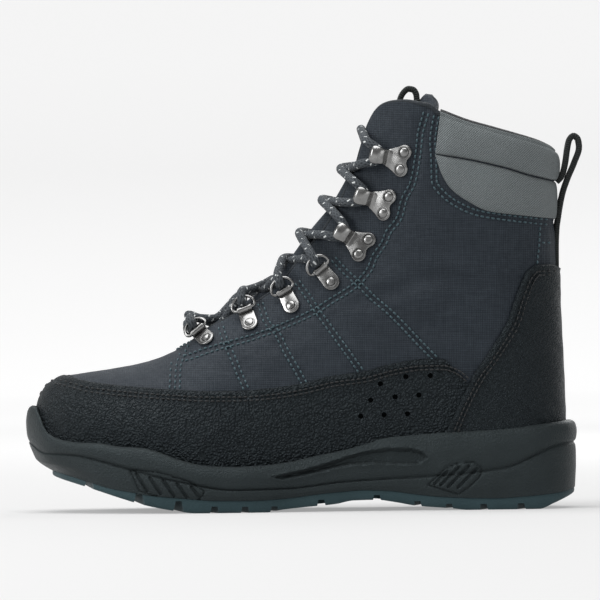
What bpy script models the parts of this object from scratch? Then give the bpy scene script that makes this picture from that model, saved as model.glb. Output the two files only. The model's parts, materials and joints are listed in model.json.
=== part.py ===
"""A lace-up wading boot for the left foot, standing on its sole.

Metres, +Z up. The toe points along -X and the heel along +X. The outer side
of the foot is at -Y and the inner side at +Y. The origin is on the floor, in
the middle of the boot's length and width.
"""
import math

import bmesh
import bpy
import numpy as np
from mathutils import Matrix, Vector

MM = 0.001

# Driving dimensions
SOLE_LENGTH = 0.317
BALL_WIDTH = 0.112
SHAFT_HEIGHT = 0.234
HEEL_LOOP_REACH = 0.004
GAP = 0.0003

UPPER_WALL = 0.0020
RAND_THICKNESS = 0.0015
COUNTER_FOOT_RISE = 0.0045
INSOLE_THICKNESS = 0.0045
OUTSOLE_TUCK = 0.0004
LUG_DEPTH = 0.0032
GROOVE_WIDTH = 0.0048

THROAT_WIDTH = 0.025
THROAT_START_ROW = 10.7
TONGUE_THICKNESS = 0.0050
TONGUE_TUCK = 0.010
TONGUE_LEAN = 0.027

PAD_SKIN = 0.0012
PAD_PUFF = 0.0026
PAD_LINING = 0.0045
PAD_ROLL = 0.0035
BAND_PUFF = 0.0015

WEBBING = 0.0017
WEBBING_WIDTH = 0.013

RING_WIRE = 0.0015
RING_WIDTH = 0.0135
RING_REACH = 0.0078
CLIP_WIDTH = 0.0097
CLIP_PLATE = 0.0009
EYE_WALL = 0.0008
RIVET_WIDTH = 0.0050
RIVET_HEIGHT = 0.0012
BAR_REACH = 0.0096
BAR_HEIGHT = RING_WIRE / 2.0 + EYE_WALL + GAP + 0.0003
HOOK_PLATE = 0.0011
HOOK_LOBE = 0.0074
HOOK_RIVET_PITCH = 0.0100
HOOK_HEAD_WIDTH = 0.0095
HOOK_HEAD_REACH = 0.0105
LACE_WIDTH = 0.0050
VENT_WIDTH = 0.0028

BOOT_LENGTH = SOLE_LENGTH + HEEL_LOOP_REACH

# Sections of the last, toe to collar. Each row is a plane that leans from a
# point on the front line to a point on the foot line or the back line.
# front_x, back_x: shares of SOLE_LENGTH from the toe.
# front_z, back_z: shares of SHAFT_HEIGHT. A back_z of None is on the foot bed.
# outer, inner, outer_foot, inner_foot, centre: shares of BALL_WIDTH.
# widest: share of the way from front to back. front_full, back_full: roundness.
SECTION_COLUMNS = ("front_x", "front_z", "back_x", "back_z", "outer", "inner",
                   "outer_foot", "inner_foot", "widest", "front_full", "back_full", "centre")
SECTIONS = (
    (0.022, 0.175, 0.0222, None, 0.001, 0.001, 0.001, 0.001, 0.90, 2.0, 2.0, 0.080),
    (0.021, 0.200, 0.0232, None, 0.046, 0.046, 0.043, 0.043, 0.90, 2.0, 2.0, 0.080),
    (0.022, 0.229, 0.0260, None, 0.088, 0.082, 0.084, 0.077, 0.88, 2.0, 2.0, 0.080),
    (0.026, 0.266, 0.0300, None, 0.142, 0.120, 0.134, 0.113, 0.84, 2.1, 2.0, 0.080),
    (0.033, 0.290, 0.0380, None, 0.190, 0.160, 0.180, 0.150, 0.80, 2.2, 2.0, 0.079),
    (0.043, 0.309, 0.0490, None, 0.235, 0.198, 0.224, 0.187, 0.78, 2.3, 2.0, 0.077),
    (0.058, 0.322, 0.0650, None, 0.283, 0.238, 0.271, 0.226, 0.76, 2.3, 2.0, 0.075),
    (0.079, 0.332, 0.0900, None, 0.337, 0.285, 0.324, 0.272, 0.74, 2.3, 2.0, 0.071),
    (0.119, 0.341, 0.1340, None, 0.394, 0.341, 0.380, 0.327, 0.72, 2.25, 2.0, 0.066),
    (0.177, 0.352, 0.1990, None, 0.446, 0.388, 0.430, 0.372, 0.70, 2.15, 2.0, 0.060),
    (0.239, 0.372, 0.2680, None, 0.478, 0.394, 0.460, 0.376, 0.70, 2.0, 2.0, 0.053),
    (0.290, 0.407, 0.3330, None, 0.478, 0.366, 0.458, 0.342, 0.72, 1.9, 2.0, 0.045),
    (0.333, 0.461, 0.4020, None, 0.452, 0.334, 0.428, 0.300, 0.72, 1.85, 2.0, 0.036),
    (0.375, 0.495, 0.4790, None, 0.418, 0.302, 0.388, 0.258, 0.71, 1.8, 2.0, 0.026),
    (0.419, 0.533, 0.5510, None, 0.388, 0.286, 0.358, 0.242, 0.70, 1.8, 2.0, 0.018),
    (0.451, 0.567, 0.6310, None, 0.366, 0.284, 0.326, 0.242, 0.66, 1.8, 2.1, 0.009),
    (0.482, 0.621, 0.7140, None, 0.350, 0.292, 0.308, 0.258, 0.62, 1.85, 2.2, 0.004),
    (0.508, 0.667, 0.8010, None, 0.340, 0.304, 0.300, 0.282, 0.58, 1.9, 2.3, 0.001),
    (0.527, 0.701, 0.8850, None, 0.334, 0.313, 0.280, 0.276, 0.56, 1.9, 2.4, 0.0),
    (0.542, 0.731, 0.9360, None, 0.330, 0.318, 0.226, 0.226, 0.55, 1.95, 2.4, 0.0),
    (0.553, 0.755, 0.9620, None, 0.328, 0.318, 0.130, 0.130, 0.54, 1.95, 2.4, 0.0),
    (0.562, 0.775, 0.9720, 0.152, 0.326, 0.318, 0.0, 0.0, 0.53, 2.0, 2.4, 0.0),
    (0.571, 0.794, 0.9710, 0.238, 0.325, 0.318, 0.0, 0.0, 0.52, 2.0, 2.35, 0.0),
    (0.580, 0.814, 0.9690, 0.337, 0.324, 0.318, 0.0, 0.0, 0.52, 2.0, 2.3, 0.0),
    (0.589, 0.833, 0.9660, 0.435, 0.323, 0.318, 0.0, 0.0, 0.52, 2.05, 2.25, 0.0),
    (0.596, 0.853, 0.9640, 0.521, 0.323, 0.318, 0.0, 0.0, 0.52, 2.05, 2.2, 0.0),
    (0.602, 0.875, 0.9640, 0.602, 0.323, 0.318, 0.0, 0.0, 0.52, 2.1, 2.2, 0.0),
    (0.608, 0.897, 0.9635, 0.681, 0.324, 0.319, 0.0, 0.0, 0.52, 2.1, 2.2, 0.0),
    (0.615, 0.924, 0.9620, 0.755, 0.325, 0.320, 0.0, 0.0, 0.52, 2.1, 2.2, 0.0),
    (0.622, 0.951, 0.9615, 0.816, 0.326, 0.321, 0.0, 0.0, 0.52, 2.1, 2.2, 0.0),
    (0.629, 0.985, 0.9620, 0.877, 0.327, 0.322, 0.0, 0.0, 0.52, 2.1, 2.2, 0.0),
    (0.635, 1.029, 0.9640, 0.946, 0.328, 0.323, 0.0, 0.0, 0.52, 2.1, 2.2, 0.0),
    (0.640, 1.066, 0.9680, 1.005, 0.329, 0.324, 0.0, 0.0, 0.52, 2.1, 2.2, 0.0),
)
CLOSED_BACK_ROW = 21
TOP_ROW = 30.2
LAST_ROW = len(SECTIONS) - 1

# Outline of the sole seen from above, toe to heel.
# at: share of SOLE_LENGTH. outer, inner: shares of BALL_WIDTH from the middle line.
OUTLINE_COLUMNS = ("at", "outer", "inner")
OUTLINE = (
    (0.000, -0.090, 0.090), (0.004, 0.010, 0.180), (0.015, 0.090, 0.254), (0.040, 0.200, 0.345),
    (0.080, 0.304, 0.415), (0.140, 0.402, 0.473), (0.200, 0.460, 0.499), (0.260, 0.492, 0.496),
    (0.320, 0.500, 0.462), (0.380, 0.492, 0.422), (0.440, 0.464, 0.384), (0.520, 0.424, 0.352),
    (0.600, 0.394, 0.340), (0.700, 0.374, 0.346), (0.800, 0.364, 0.356), (0.880, 0.344, 0.344),
    (0.940, 0.295, 0.295), (0.975, 0.222, 0.222), (0.994, 0.120, 0.120), (1.000, 0.000, 0.000),
)

# Lines along the sole's side. at: share of SOLE_LENGTH, z: share of SHAFT_HEIGHT.
FOOT_BED = ((0.0, 0.175), (0.047, 0.162), (0.137, 0.128), (0.228, 0.103), (0.319, 0.085),
            (0.410, 0.081), (0.500, 0.090), (0.591, 0.107), (0.682, 0.124), (0.772, 0.137),
            (0.863, 0.145), (0.954, 0.150), (1.001, 0.150))
RIM = ((0.0, 0.264), (0.020, 0.259), (0.029, 0.239), (0.037, 0.214), (0.046, 0.196), (0.066, 0.183),
       (0.096, 0.175), (0.137, 0.172), (0.177, 0.163), (0.214, 0.160), (0.243, 0.150),
       (0.283, 0.130), (0.332, 0.115), (0.380, 0.112), (0.428, 0.114), (0.477, 0.122),
       (0.526, 0.136), (0.574, 0.149), (0.623, 0.168), (0.654, 0.181), (0.703, 0.187),
       (0.758, 0.192), (0.812, 0.196), (0.881, 0.200), (0.979, 0.214), (1.001, 0.216))
SIDE_GROOVE = ((0.0, 0.178), (0.011, 0.169), (0.026, 0.152), (0.040, 0.145), (0.066, 0.144),
               (0.096, 0.141), (0.131, 0.131), (0.196, 0.106), (0.283, 0.076), (0.380, 0.055),
               (0.477, 0.057), (0.574, 0.071), (0.633, 0.076), (0.720, 0.082), (0.860, 0.100),
               (0.979, 0.160), (1.001, 0.162))
SOLE_SEAM = ((0.0, 0.114), (0.029, 0.106), (0.054, 0.101), (0.085, 0.090), (0.122, 0.075),
             (0.159, 0.061), (0.196, 0.052), (0.234, 0.043), (0.283, 0.037), (0.348, 0.030),
             (0.411, 0.029), (0.477, 0.034), (0.526, 0.042), (0.574, 0.048), (0.607, 0.051),
             (0.655, 0.049), (0.703, 0.040), (0.761, 0.032), (0.847, 0.028), (0.917, 0.033),
             (0.962, 0.039), (0.997, 0.051))
GROUND = ((0.0, 0.107), (0.030, 0.098), (0.048, 0.090), (0.107, 0.067), (0.140, 0.053),
          (0.174, 0.038), (0.211, 0.023), (0.244, 0.013), (0.283, 0.004), (0.310, 0.0),
          (0.437, 0.0), (0.464, 0.006), (0.509, 0.012), (0.561, 0.018), (0.593, 0.026),
          (0.633, 0.027), (0.671, 0.020), (0.703, 0.012), (0.771, 0.004), (0.800, 0.0),
          (0.927, 0.0), (0.955, 0.014), (0.986, 0.032), (1.001, 0.041))
# How far the sole's foot edge lies inside its outline, as a share of BALL_WIDTH
SOLE_TUCK = ((0.0, 0.130), (0.02, 0.110), (0.06, 0.070), (0.12, 0.034), (0.22, 0.020),
             (0.85, 0.020), (0.96, 0.006), (1.0, 0.012))

# Lines across the upper seen from the side, with the same columns
TOP_EDGE = ((0.596, 0.862), (0.606, 0.888), (0.613, 0.907), (0.620, 0.925), (0.630, 0.953),
            (0.638, 0.972), (0.653, 0.989), (0.670, 0.995), (0.691, 0.996), (0.718, 0.990),
            (0.736, 0.984), (0.752, 0.966), (0.765, 0.959), (0.805, 0.938), (0.849, 0.921),
            (0.892, 0.905), (0.936, 0.888), (0.957, 0.876), (0.972, 0.862), (1.0, 0.840))
BAND_SEAM = ((0.600, 0.905), (0.750, 0.865), (0.803, 0.853), (0.870, 0.832), (0.921, 0.811),
             (0.966, 0.799), (1.0, 0.795))
BAND_FOOT = ((0.700, 0.890), (0.745, 0.866), (0.7515, 0.840), (0.757, 0.819), (0.773, 0.783),
             (0.804, 0.751), (0.840, 0.727), (0.887, 0.718), (0.965, 0.708), (1.0, 0.706))

# Outlines that cut the overlays, seen from the side, with the same columns
RAND_EDGE = ((-0.050, 0.340), (-0.008, 0.340), (0.063, 0.335), (0.123, 0.316), (0.199, 0.305),
             (0.268, 0.298), (0.337, 0.294), (0.402, 0.295), (0.447, 0.300), (0.500, 0.311),
             (0.556, 0.329), (0.611, 0.339), (0.667, 0.358), (0.722, 0.368), (0.756, 0.368),
             (0.790, 0.354), (0.811, 0.331))
COUNTER_EDGE = ((0.811, 0.331), (0.834, 0.374), (0.856, 0.420), (0.872, 0.456), (0.887, 0.520),
                (0.905, 0.577), (0.921, 0.595), (0.968, 0.597), (1.050, 0.597))
COUNTER_FRONT = ((0.811, 0.331), (0.763, 0.199), (0.753, 0.162))

# Vent holes through the rand, seen from the side
VENTS = ((0.643, 0.309), (0.689, 0.326), (0.733, 0.328), (0.625, 0.270), (0.669, 0.277),
         (0.712, 0.281), (0.607, 0.231), (0.649, 0.234), (0.691, 0.236))

# Heel loop and tongue loop, seen from the side: the middle line of the webbing
HEEL_LOOP = ((0.9757, 0.8100), (0.9800, 0.8240), (0.9840, 0.8480), (0.9875, 0.8800),
             (0.9915, 0.9020), (0.9990, 0.9120), (1.0070, 0.9030), (1.0090, 0.8840),
             (1.0005, 0.8460), (0.9890, 0.8060), (0.9820, 0.7700), (0.9785, 0.7350),
             (0.9755, 0.7100), (0.9722, 0.6850), (0.9700, 0.6400), (0.9695, 0.6060))
TONGUE_LOOP = ((0.6955, 0.9750), (0.6930, 0.9950), (0.6935, 1.0150), (0.6985, 1.0300),
               (0.7060, 1.0365), (0.7130, 1.0330))

# D-rings: rivet and bar, seen from the side. Speed hooks: plate and head.
FITTING_COLUMNS = ("rivet_x", "rivet_z", "head_x", "head_z")
RINGS = ((0.332, 0.420, 0.310, 0.452), (0.410, 0.457, 0.401, 0.496),
         (0.486, 0.500, 0.473, 0.539), (0.558, 0.557, 0.537, 0.592))
HOOKS = ((0.617, 0.641, 0.586, 0.669), (0.659, 0.744, 0.623, 0.764),
         (0.689, 0.851, 0.651, 0.864))

# Recess and slashes in the midsole's side
SCALLOP = ((0.445, 0.087), (0.509, 0.105), (0.558, 0.124), (0.607, 0.144), (0.655, 0.153),
           (0.697, 0.152), (0.720, 0.142), (0.728, 0.129), (0.710, 0.111), (0.671, 0.112),
           (0.633, 0.115), (0.590, 0.111), (0.558, 0.103), (0.509, 0.088), (0.464, 0.078))
SCALLOP_DEPTH = 0.0028
SLASH_COLUMNS = ("at", "z", "length", "lean")
SLASHES = ((0.214, 0.076, 0.0125, -58.0), (0.238, 0.068, 0.0125, -57.0), (0.262, 0.062, 0.0120, -56.0),
           (0.286, 0.056, 0.0105, -55.0), (0.310, 0.052, 0.0085, -54.0),
           (0.738, 0.080, 0.0140, 42.0), (0.764, 0.083, 0.0170, 42.0), (0.790, 0.087, 0.0150, 42.0))
SLASH_WIDTH = 0.0015
SLASH_DEPTH = 0.0022

# Cross grooves between the lugs: share of SOLE_LENGTH, sweep in degrees
CROSS_GROOVES = ((0.098, 10.0), (0.170, 14.0), (0.232, 16.0), (0.296, 16.0),
                 (0.358, 14.0), (0.424, 10.0), (0.535, 0.0), (0.635, 0.0), (0.725, -8.0),
                 (0.790, -12.0), (0.856, -14.0), (0.922, -14.0))
OUTLINE_STEPS = 20

# Every form of the last is cut into the same rows and turns, so that pieces
# that lie on each other stay parallel.
FORM_ROWS = (0, 1, 2, 3, 4, 5, 6, 7, 8, 9, 10, 10.7, 11.1, 12, 13.4, 15, 16.6, 18, 19, 20, 20.5,
             21, 22, 24, 26, 28, TOP_ROW)
TURN_STEPS = 12
THROAT_STEPS = 3
PAD_FIRST_STEP = 5


def clear_scene():
    for item in list(bpy.data.objects):
        bpy.data.objects.remove(item, do_unlink=True)


def new_collection(name):
    collection = bpy.data.collections.new(name)
    bpy.context.scene.collection.children.link(collection)
    return collection


def material(name, colour, roughness, metallic=0.0):
    made = bpy.data.materials.new(name)
    made.use_nodes = True
    shader = made.node_tree.nodes["Principled BSDF"]
    shader.inputs["Base Color"].default_value = (*colour, 1.0)
    shader.inputs["Roughness"].default_value = roughness
    shader.inputs["Metallic"].default_value = metallic
    made.diffuse_color = (*colour, 1.0)
    return made


# Curves through a table's rows
def smooth_curve(xs, ys):
    """A curve through the points that never overshoots them."""
    xs = np.asarray(xs, float)
    ys = np.asarray(ys, float)
    steps = np.diff(xs)
    slopes = np.diff(ys) / steps
    tangents = np.zeros(len(xs))
    tangents[0] = slopes[0]
    tangents[-1] = slopes[-1]
    for i in range(1, len(xs) - 1):
        before, after = slopes[i - 1], slopes[i]
        if before * after > 0.0:
            w1 = 2.0 * steps[i] + steps[i - 1]
            w2 = steps[i] + 2.0 * steps[i - 1]
            tangents[i] = (w1 + w2) / (w1 / before + w2 / after)

    def value(x):
        x = np.clip(np.asarray(x, float), xs[0], xs[-1])
        i = np.clip(np.searchsorted(xs, x, side="right") - 1, 0, len(xs) - 2)
        h = steps[i]
        t = (x - xs[i]) / h
        return ((2 * t**3 - 3 * t**2 + 1) * ys[i] + (t**3 - 2 * t**2 + t) * h * tangents[i]
                + (3 * t**2 - 2 * t**3) * ys[i + 1] + (t**3 - t**2) * h * tangents[i + 1])

    return value


def x_at(share):
    return np.asarray(share) * SOLE_LENGTH - BOOT_LENGTH / 2.0


def share_at(x):
    return (np.asarray(x) + BOOT_LENGTH / 2.0) / SOLE_LENGTH


def height_line(table):
    """Height in metres along x in metres, from a table of shares."""
    curve = smooth_curve([row[0] for row in table], [row[1] for row in table])
    return lambda x: curve(share_at(x)) * SHAFT_HEIGHT


def side_points(table):
    return [(float(x_at(at)), z * SHAFT_HEIGHT) for at, z in table]


foot_bed = height_line(FOOT_BED)
rim_line = height_line(RIM)
groove_line = height_line(SIDE_GROOVE)
seam_line = height_line(SOLE_SEAM)
ground_line = height_line(GROUND)
tuck_curve = smooth_curve([row[0] for row in SOLE_TUCK], [row[1] for row in SOLE_TUCK])


# The form of the last
def section_curves():
    columns = {}
    for k, name in enumerate(SECTION_COLUMNS):
        values = []
        for row in SECTIONS:
            value = row[k]
            if value is None:
                bed = foot_bed(x_at(row[SECTION_COLUMNS.index("back_x")]))
                value = float(bed + GAP) / SHAFT_HEIGHT
            values.append(value)
        columns[name] = smooth_curve(range(len(SECTIONS)), values)
    return columns


LAST = section_curves()
OUTER, INNER = -1.0, 1.0


def section_at(row, side):
    names = ("outer", "outer_foot") if side < 0 else ("inner", "inner_foot")
    wide = LAST[names[0]](row) * BALL_WIDTH
    foot = np.minimum(LAST[names[1]](row) * BALL_WIDTH, wide * 0.999)
    full = LAST["back_full"](row)
    cut = (1.0 - (foot / wide) ** full) ** (1.0 / full)
    return wide, full, cut


def form_point(row, turn, side):
    """A point of the last: turn 0 is the front line, 1 the foot or back line."""
    row, turn = np.broadcast_arrays(np.asarray(row, float), np.asarray(turn, float))
    wide, full, cut = section_at(row, side)
    widest = LAST["widest"](row)
    front = LAST["front_full"](row)
    angle = np.clip(turn, 0.0, 0.5) * math.pi
    share_front = widest * (1.0 - np.abs(np.cos(angle)) ** (2.0 / front))
    y_front = wide * np.abs(np.sin(angle)) ** (2.0 / front)
    last_angle = np.arcsin(np.clip(cut ** (full / 2.0), 0.0, 1.0))
    swing = np.clip(turn * 2.0 - 1.0, 0.0, 1.0) * last_angle
    share_back = widest + (1.0 - widest) * np.sin(swing) ** (2.0 / full) / cut
    y_back = wide * np.abs(np.cos(swing)) ** (2.0 / full)
    share = np.where(turn < 0.5, share_front, share_back)
    y = np.where(turn < 0.5, y_front, y_back)
    front_x, front_z = x_at(LAST["front_x"](row)), LAST["front_z"](row) * SHAFT_HEIGHT
    back_x, back_z = x_at(LAST["back_x"](row)), LAST["back_z"](row) * SHAFT_HEIGHT
    x = front_x + (back_x - front_x) * share
    z = front_z + (back_z - front_z) * share
    return np.stack([x, LAST["centre"](row) * BALL_WIDTH + side * y, z], axis=-1)


def form_normal(row, turn, side):
    row, turn = np.broadcast_arrays(np.asarray(row, float), np.asarray(turn, float))
    row = np.clip(row, 0.25, LAST_ROW)
    step = 0.02
    ahead = form_point(np.minimum(row + 0.1, LAST_ROW), np.clip(turn, step, 1.0 - step), side)
    behind = form_point(np.maximum(row - 0.1, 0.0), np.clip(turn, step, 1.0 - step), side)
    along = ahead - behind
    up = form_point(row, np.clip(turn + step, 0.0, 1.0), side)
    down = form_point(row, np.clip(turn - step, 0.0, 1.0), side)
    across_front = up - form_point(row, step, -side)
    closed = row > CLOSED_BACK_ROW - 0.5
    across_back = form_point(row, 1.0 - step, -side) - down
    across = up - down
    at_front = turn < step
    across = np.where(at_front[..., None], across_front, across)
    across = np.where(((turn > 1.0 - step) & closed)[..., None], across_back, across)
    normal = np.cross(along, across) * side
    normal /= np.maximum(np.linalg.norm(normal, axis=-1, keepdims=True), 1e-12)
    flat = (turn < 0.5 * step) | ((turn > 1.0 - 0.5 * step) & closed)
    normal[..., 1] = np.where(flat, 0.0, normal[..., 1])
    return normal


def lifted_point(row, turn, side, lift=0.0):
    point = form_point(row, turn, side)
    normal = form_normal(row, turn, side)
    return point + normal * np.asarray(lift)[..., None] if np.ndim(lift) else point + normal * lift


def row_on_line(turn, side, line, low=20.0, high=float(LAST_ROW)):
    """The row whose point at this turn lies on a height line."""
    for _ in range(40):
        middle = (low + high) / 2.0
        point = form_point(middle, turn, side)
        if point[2] < line(point[0]):
            low = middle
        else:
            high = middle
    return (low + high) / 2.0


def turn_for_half_gap(row, side, half_gap):
    wide, _, _ = section_at(row, side)
    front = LAST["front_full"](row)
    share = np.clip(half_gap / wide, 0.0, 0.999)
    return float(np.arcsin(share ** (front / 2.0)) / math.pi)


def find_on_form(x, z, side):
    """The row and turn that stand at x and z, seen from the side."""
    def lies_below(row):
        front = np.array([x_at(LAST["front_x"](row)), LAST["front_z"](row) * SHAFT_HEIGHT])
        back = np.array([x_at(LAST["back_x"](row)), LAST["back_z"](row) * SHAFT_HEIGHT])
        span = back - front
        offset = np.array([x, z]) - front
        return span[0] * offset[1] - span[1] * offset[0], offset @ span / (span @ span)

    low, high = 0.5, float(LAST_ROW)
    for _ in range(50):
        middle = (low + high) / 2.0
        if lies_below(middle)[0] > 0.0:
            low = middle
        else:
            high = middle
    row = (low + high) / 2.0
    share = lies_below(row)[1]
    widest = float(LAST["widest"](row))
    front = float(LAST["front_full"](row))
    _, full, cut = section_at(row, side)
    if share < widest:
        turn = math.acos(np.clip(1.0 - share / widest, 0.0, 1.0) ** (front / 2.0)) / math.pi
    else:
        last_angle = math.asin(min(1.0, float(cut ** (full / 2.0))))
        reach = np.clip((share - widest) / (1.0 - widest) * cut, 0.0, 1.0)
        turn = 0.5 + 0.5 * math.asin(float(reach ** (full / 2.0))) / last_angle
    return row, turn


# Meshes
def object_from(name, mesh_maker, collection, look=None):
    """mesh_maker fills a bmesh. The faces of the closed result point outward."""
    work = bmesh.new()
    mesh_maker(work)
    bmesh.ops.recalc_face_normals(work, faces=work.faces)
    closed = all(len(edge.link_faces) == 2 for edge in work.edges)
    if closed and work.calc_volume(signed=True) < 0.0:
        bmesh.ops.reverse_faces(work, faces=work.faces)
    mesh = bpy.data.meshes.new(name)
    work.to_mesh(mesh)
    work.free()
    made = bpy.data.objects.new(name, mesh)
    collection.objects.link(made)
    if look:
        mesh.materials.append(look)
    return made


def smooth(item, degrees=38.0):
    item.data.shade_smooth()
    item.data.set_sharp_from_angle(angle=math.radians(degrees))


def add_loops(work, loops, closed=True):
    """Rows of points joined by bands of quads. Returns the rows of vertices."""
    rows = [[work.verts.new(point) for point in loop] for loop in loops]
    count = len(rows[0])
    for before, after in zip(rows, rows[1:]):
        for i in range(count if closed else count - 1):
            k = (i + 1) % count
            work.faces.new((before[i], before[k], after[k], after[i]))
    return rows


def add_ladder(work, loop):
    """Closes a loop whose first half mirrors its second half, rung by rung."""
    count = len(loop)
    half = count // 2
    work.faces.new((loop[0], loop[1], loop[count - 1]))
    for i in range(1, half - 1):
        work.faces.new((loop[i], loop[i + 1], loop[count - i - 1], loop[count - i]))
    work.faces.new((loop[half - 1], loop[half], loop[half + 1]))


def tube_of_sections(work, sections):
    """A solid through closed sections, capped at both ends."""
    rows = add_loops(work, sections)
    work.faces.new(rows[0])
    work.faces.new(list(reversed(rows[-1])))


def side_prism(name, outline, collection, y_low=-0.09, y_high=0.09):
    """A block with an outline drawn from the side."""
    def build(work):
        near = [work.verts.new((x, y_low, z)) for x, z in outline]
        far = [work.verts.new((x, y_high, z)) for x, z in outline]
        count = len(near)
        work.faces.new(near)
        work.faces.new(list(reversed(far)))
        for i in range(count):
            k = (i + 1) % count
            work.faces.new((near[i], near[k], far[k], far[i]))
    return mark_cutter(object_from(name, build, collection))


def mark_cutter(item):
    item.hide_render = True
    item.display_type = "WIRE"
    return item


def cut_with(item, cutter, operation="DIFFERENCE", solver="EXACT"):
    change = item.modifiers.new(operation.title(), "BOOLEAN")
    change.operation = operation
    change.solver = solver
    change.object = cutter
    return change


def apply_modifiers(item):
    """The evaluated mesh takes the place of the base mesh and its modifiers."""
    view = bpy.context.evaluated_depsgraph_get()
    view.update()
    mesh = bpy.data.meshes.new_from_object(item.evaluated_get(view))
    old = item.data
    item.modifiers.clear()
    item.data = mesh
    mesh.name = item.name
    if old.users == 0:
        bpy.data.meshes.remove(old)


def join_by_union(item, others):
    for other in others:
        cut_with(item, other, "UNION")
    apply_modifiers(item)
    for other in others:
        bpy.data.objects.remove(other, do_unlink=True)


# Sheets that follow the last
def form_sheet(work, rows, lift=0.0, first_turn=None, top_row=None, bottom_gap=GAP):
    """An open sheet over the last, joined along the front and back lines.

    first_turn gives the turn where a row starts, 0 where the front is closed.
    top_row gives the row where the sheet ends at a turn.
    """
    first_turn = first_turn or (lambda row, side: 0.0)
    columns = {}
    for side in (OUTER, INNER):
        grid = []
        for row in rows:
            start = first_turn(row, side)
            line = []
            for k in range(TURN_STEPS + 1):
                turn = k / TURN_STEPS
                if k < THROAT_STEPS and start > 0.0:
                    turn = start + (THROAT_STEPS / TURN_STEPS - start) * k / THROAT_STEPS
                at = row if top_row is None else top_row(row, turn, side)
                point = lifted_point(at, turn, side, lift)
                if k == TURN_STEPS and row < CLOSED_BACK_ROW:
                    point[2] = foot_bed(point[0]) + bottom_gap
                line.append(point)
            grid.append(line)
        columns[side] = grid
    verts = {OUTER: [], INNER: []}
    for i, row in enumerate(rows):
        shared_pole = work.verts.new(columns[OUTER][i][0]) if row == 0 else None
        if shared_pole:
            for side in (OUTER, INNER):
                verts[side].append([shared_pole] * (TURN_STEPS + 1))
            continue
        front_closed = first_turn(row, OUTER) == 0.0
        back_closed = row >= CLOSED_BACK_ROW
        outer = [work.verts.new(point) for point in columns[OUTER][i]]
        inner = [outer[0]] if front_closed else [work.verts.new(columns[INNER][i][0])]
        inner += [work.verts.new(point) for point in columns[INNER][i][1:-1]]
        inner.append(outer[-1] if back_closed else work.verts.new(columns[INNER][i][-1]))
        verts[OUTER].append(outer)
        verts[INNER].append(inner)
    for side in (OUTER, INNER):
        for before, after in zip(verts[side], verts[side][1:]):
            for k in range(TURN_STEPS):
                corner = [before[k], before[k + 1], after[k + 1], after[k]]
                if side > 0:
                    corner.reverse()
                for triangle in (corner[:3], [corner[0], corner[2], corner[3]]):
                    if len(set(triangle)) == 3:
                        work.faces.new(triangle)
    return verts


def solid_sheet(name, collection, look, rows, near_lift, far_lift, **options):
    """The wall between two sheets over the last, closed along its edges."""
    def build(work):
        form_sheet(work, rows, near_lift, **options)
        count = len(work.verts)
        rim = [edge for edge in work.edges if edge.is_boundary]
        form_sheet(work, rows, far_lift, **options)
        work.verts.index_update()
        work.verts.ensure_lookup_table()
        for edge in rim:
            first, last = (vert.index for vert in edge.verts)
            work.faces.new([work.verts[k] for k in (first, last, last + count, first + count)])
    return object_from(name, build, collection, look)


def form_rows(first, last):
    return [row for row in FORM_ROWS if first <= row <= last]


def form_block(name, collection, lift, last=26):
    """The last as a closed solid, standing on the foot bed."""
    rows = form_rows(0, last)

    def build(work):
        verts = form_sheet(work, rows, lift, bottom_gap=0.0)
        outer = [line[-1] for line in verts[OUTER]]
        inner = [line[-1] for line in verts[INNER]]
        for i in range(len(rows) - 1):
            if rows[i] < CLOSED_BACK_ROW:
                work.faces.new(dict.fromkeys((outer[i], outer[i + 1], inner[i + 1], inner[i])))
        lid = list(verts[OUTER][-1]) + list(reversed(verts[INNER][-1]))[1:-1]
        work.faces.new(lid)
    return mark_cutter(object_from(name, build, collection))


# Upper
def throat_turn(row, side):
    if row <= THROAT_START_ROW:
        return 0.0
    opened = min(1.0, (row - THROAT_START_ROW) / 1.1)
    near_top = np.clip((row - 20.0) / 10.0, 0.0, 1.0)
    half_gap = THROAT_WIDTH / 2.0 * math.sqrt(opened) * (1.0 - 0.22 * near_top)
    return turn_for_half_gap(min(row, LAST_ROW), side, half_gap)


top_edge_line = height_line(TOP_EDGE)


def collar_row(row, turn, side):
    """Bends the rows near the top so that the last one follows the top edge."""
    base = 26.0
    if row <= base:
        return row
    top = row_on_line(turn, side, top_edge_line)
    return base + (top - base) * (row - base) / (TOP_ROW - base)


def make_upper(collection, look):
    item = solid_sheet("upper", collection, look, FORM_ROWS, -UPPER_WALL, 0.0,
                       first_turn=throat_turn, top_row=collar_row)
    smooth(item)
    return item


# Overlays
def make_overlay(name, collection, cutters, look, rows, outline, vents=()):
    item = solid_sheet(name, collection, look, rows, GAP, GAP + RAND_THICKNESS)
    cut_with(item, side_prism(name + "_outline", outline, cutters), "INTERSECT")
    for k, (at, z) in enumerate(vents):
        bpy.ops.mesh.primitive_cylinder_add(
            vertices=8, radius=VENT_WIDTH / 2.0, depth=0.2,
            location=(float(x_at(at)), -0.1, z * SHAFT_HEIGHT), rotation=(math.pi / 2.0, 0, 0))
        hole = bpy.context.object
        hole.name = f"vent_cutter_{k + 1}"
        for holder in hole.users_collection:
            holder.objects.unlink(hole)
        cutters.objects.link(hole)
        mark_cutter(hole)
        cut_with(item, hole)
    apply_modifiers(item)
    smooth(item)
    return item


def foot_edge(start, end, rise, count=12):
    """Side-view points above the foot bed, from one x to another."""
    xs = np.linspace(start, end, count + 2)[1:-1] if start < end else np.linspace(start, end, count)
    return [(float(x), float(foot_bed(x)) + rise) for x in xs]


def make_rand(collection, cutters, look):
    front = [(x - GAP, z) for x, z in side_points(COUNTER_FRONT)]
    outline = side_points(RAND_EDGE)[:-1] + front + foot_edge(front[-1][0], float(x_at(-0.05)), 2.0 * GAP)
    return make_overlay("toe_rand", collection, cutters, look, form_rows(0, 20), outline, VENTS)


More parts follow.
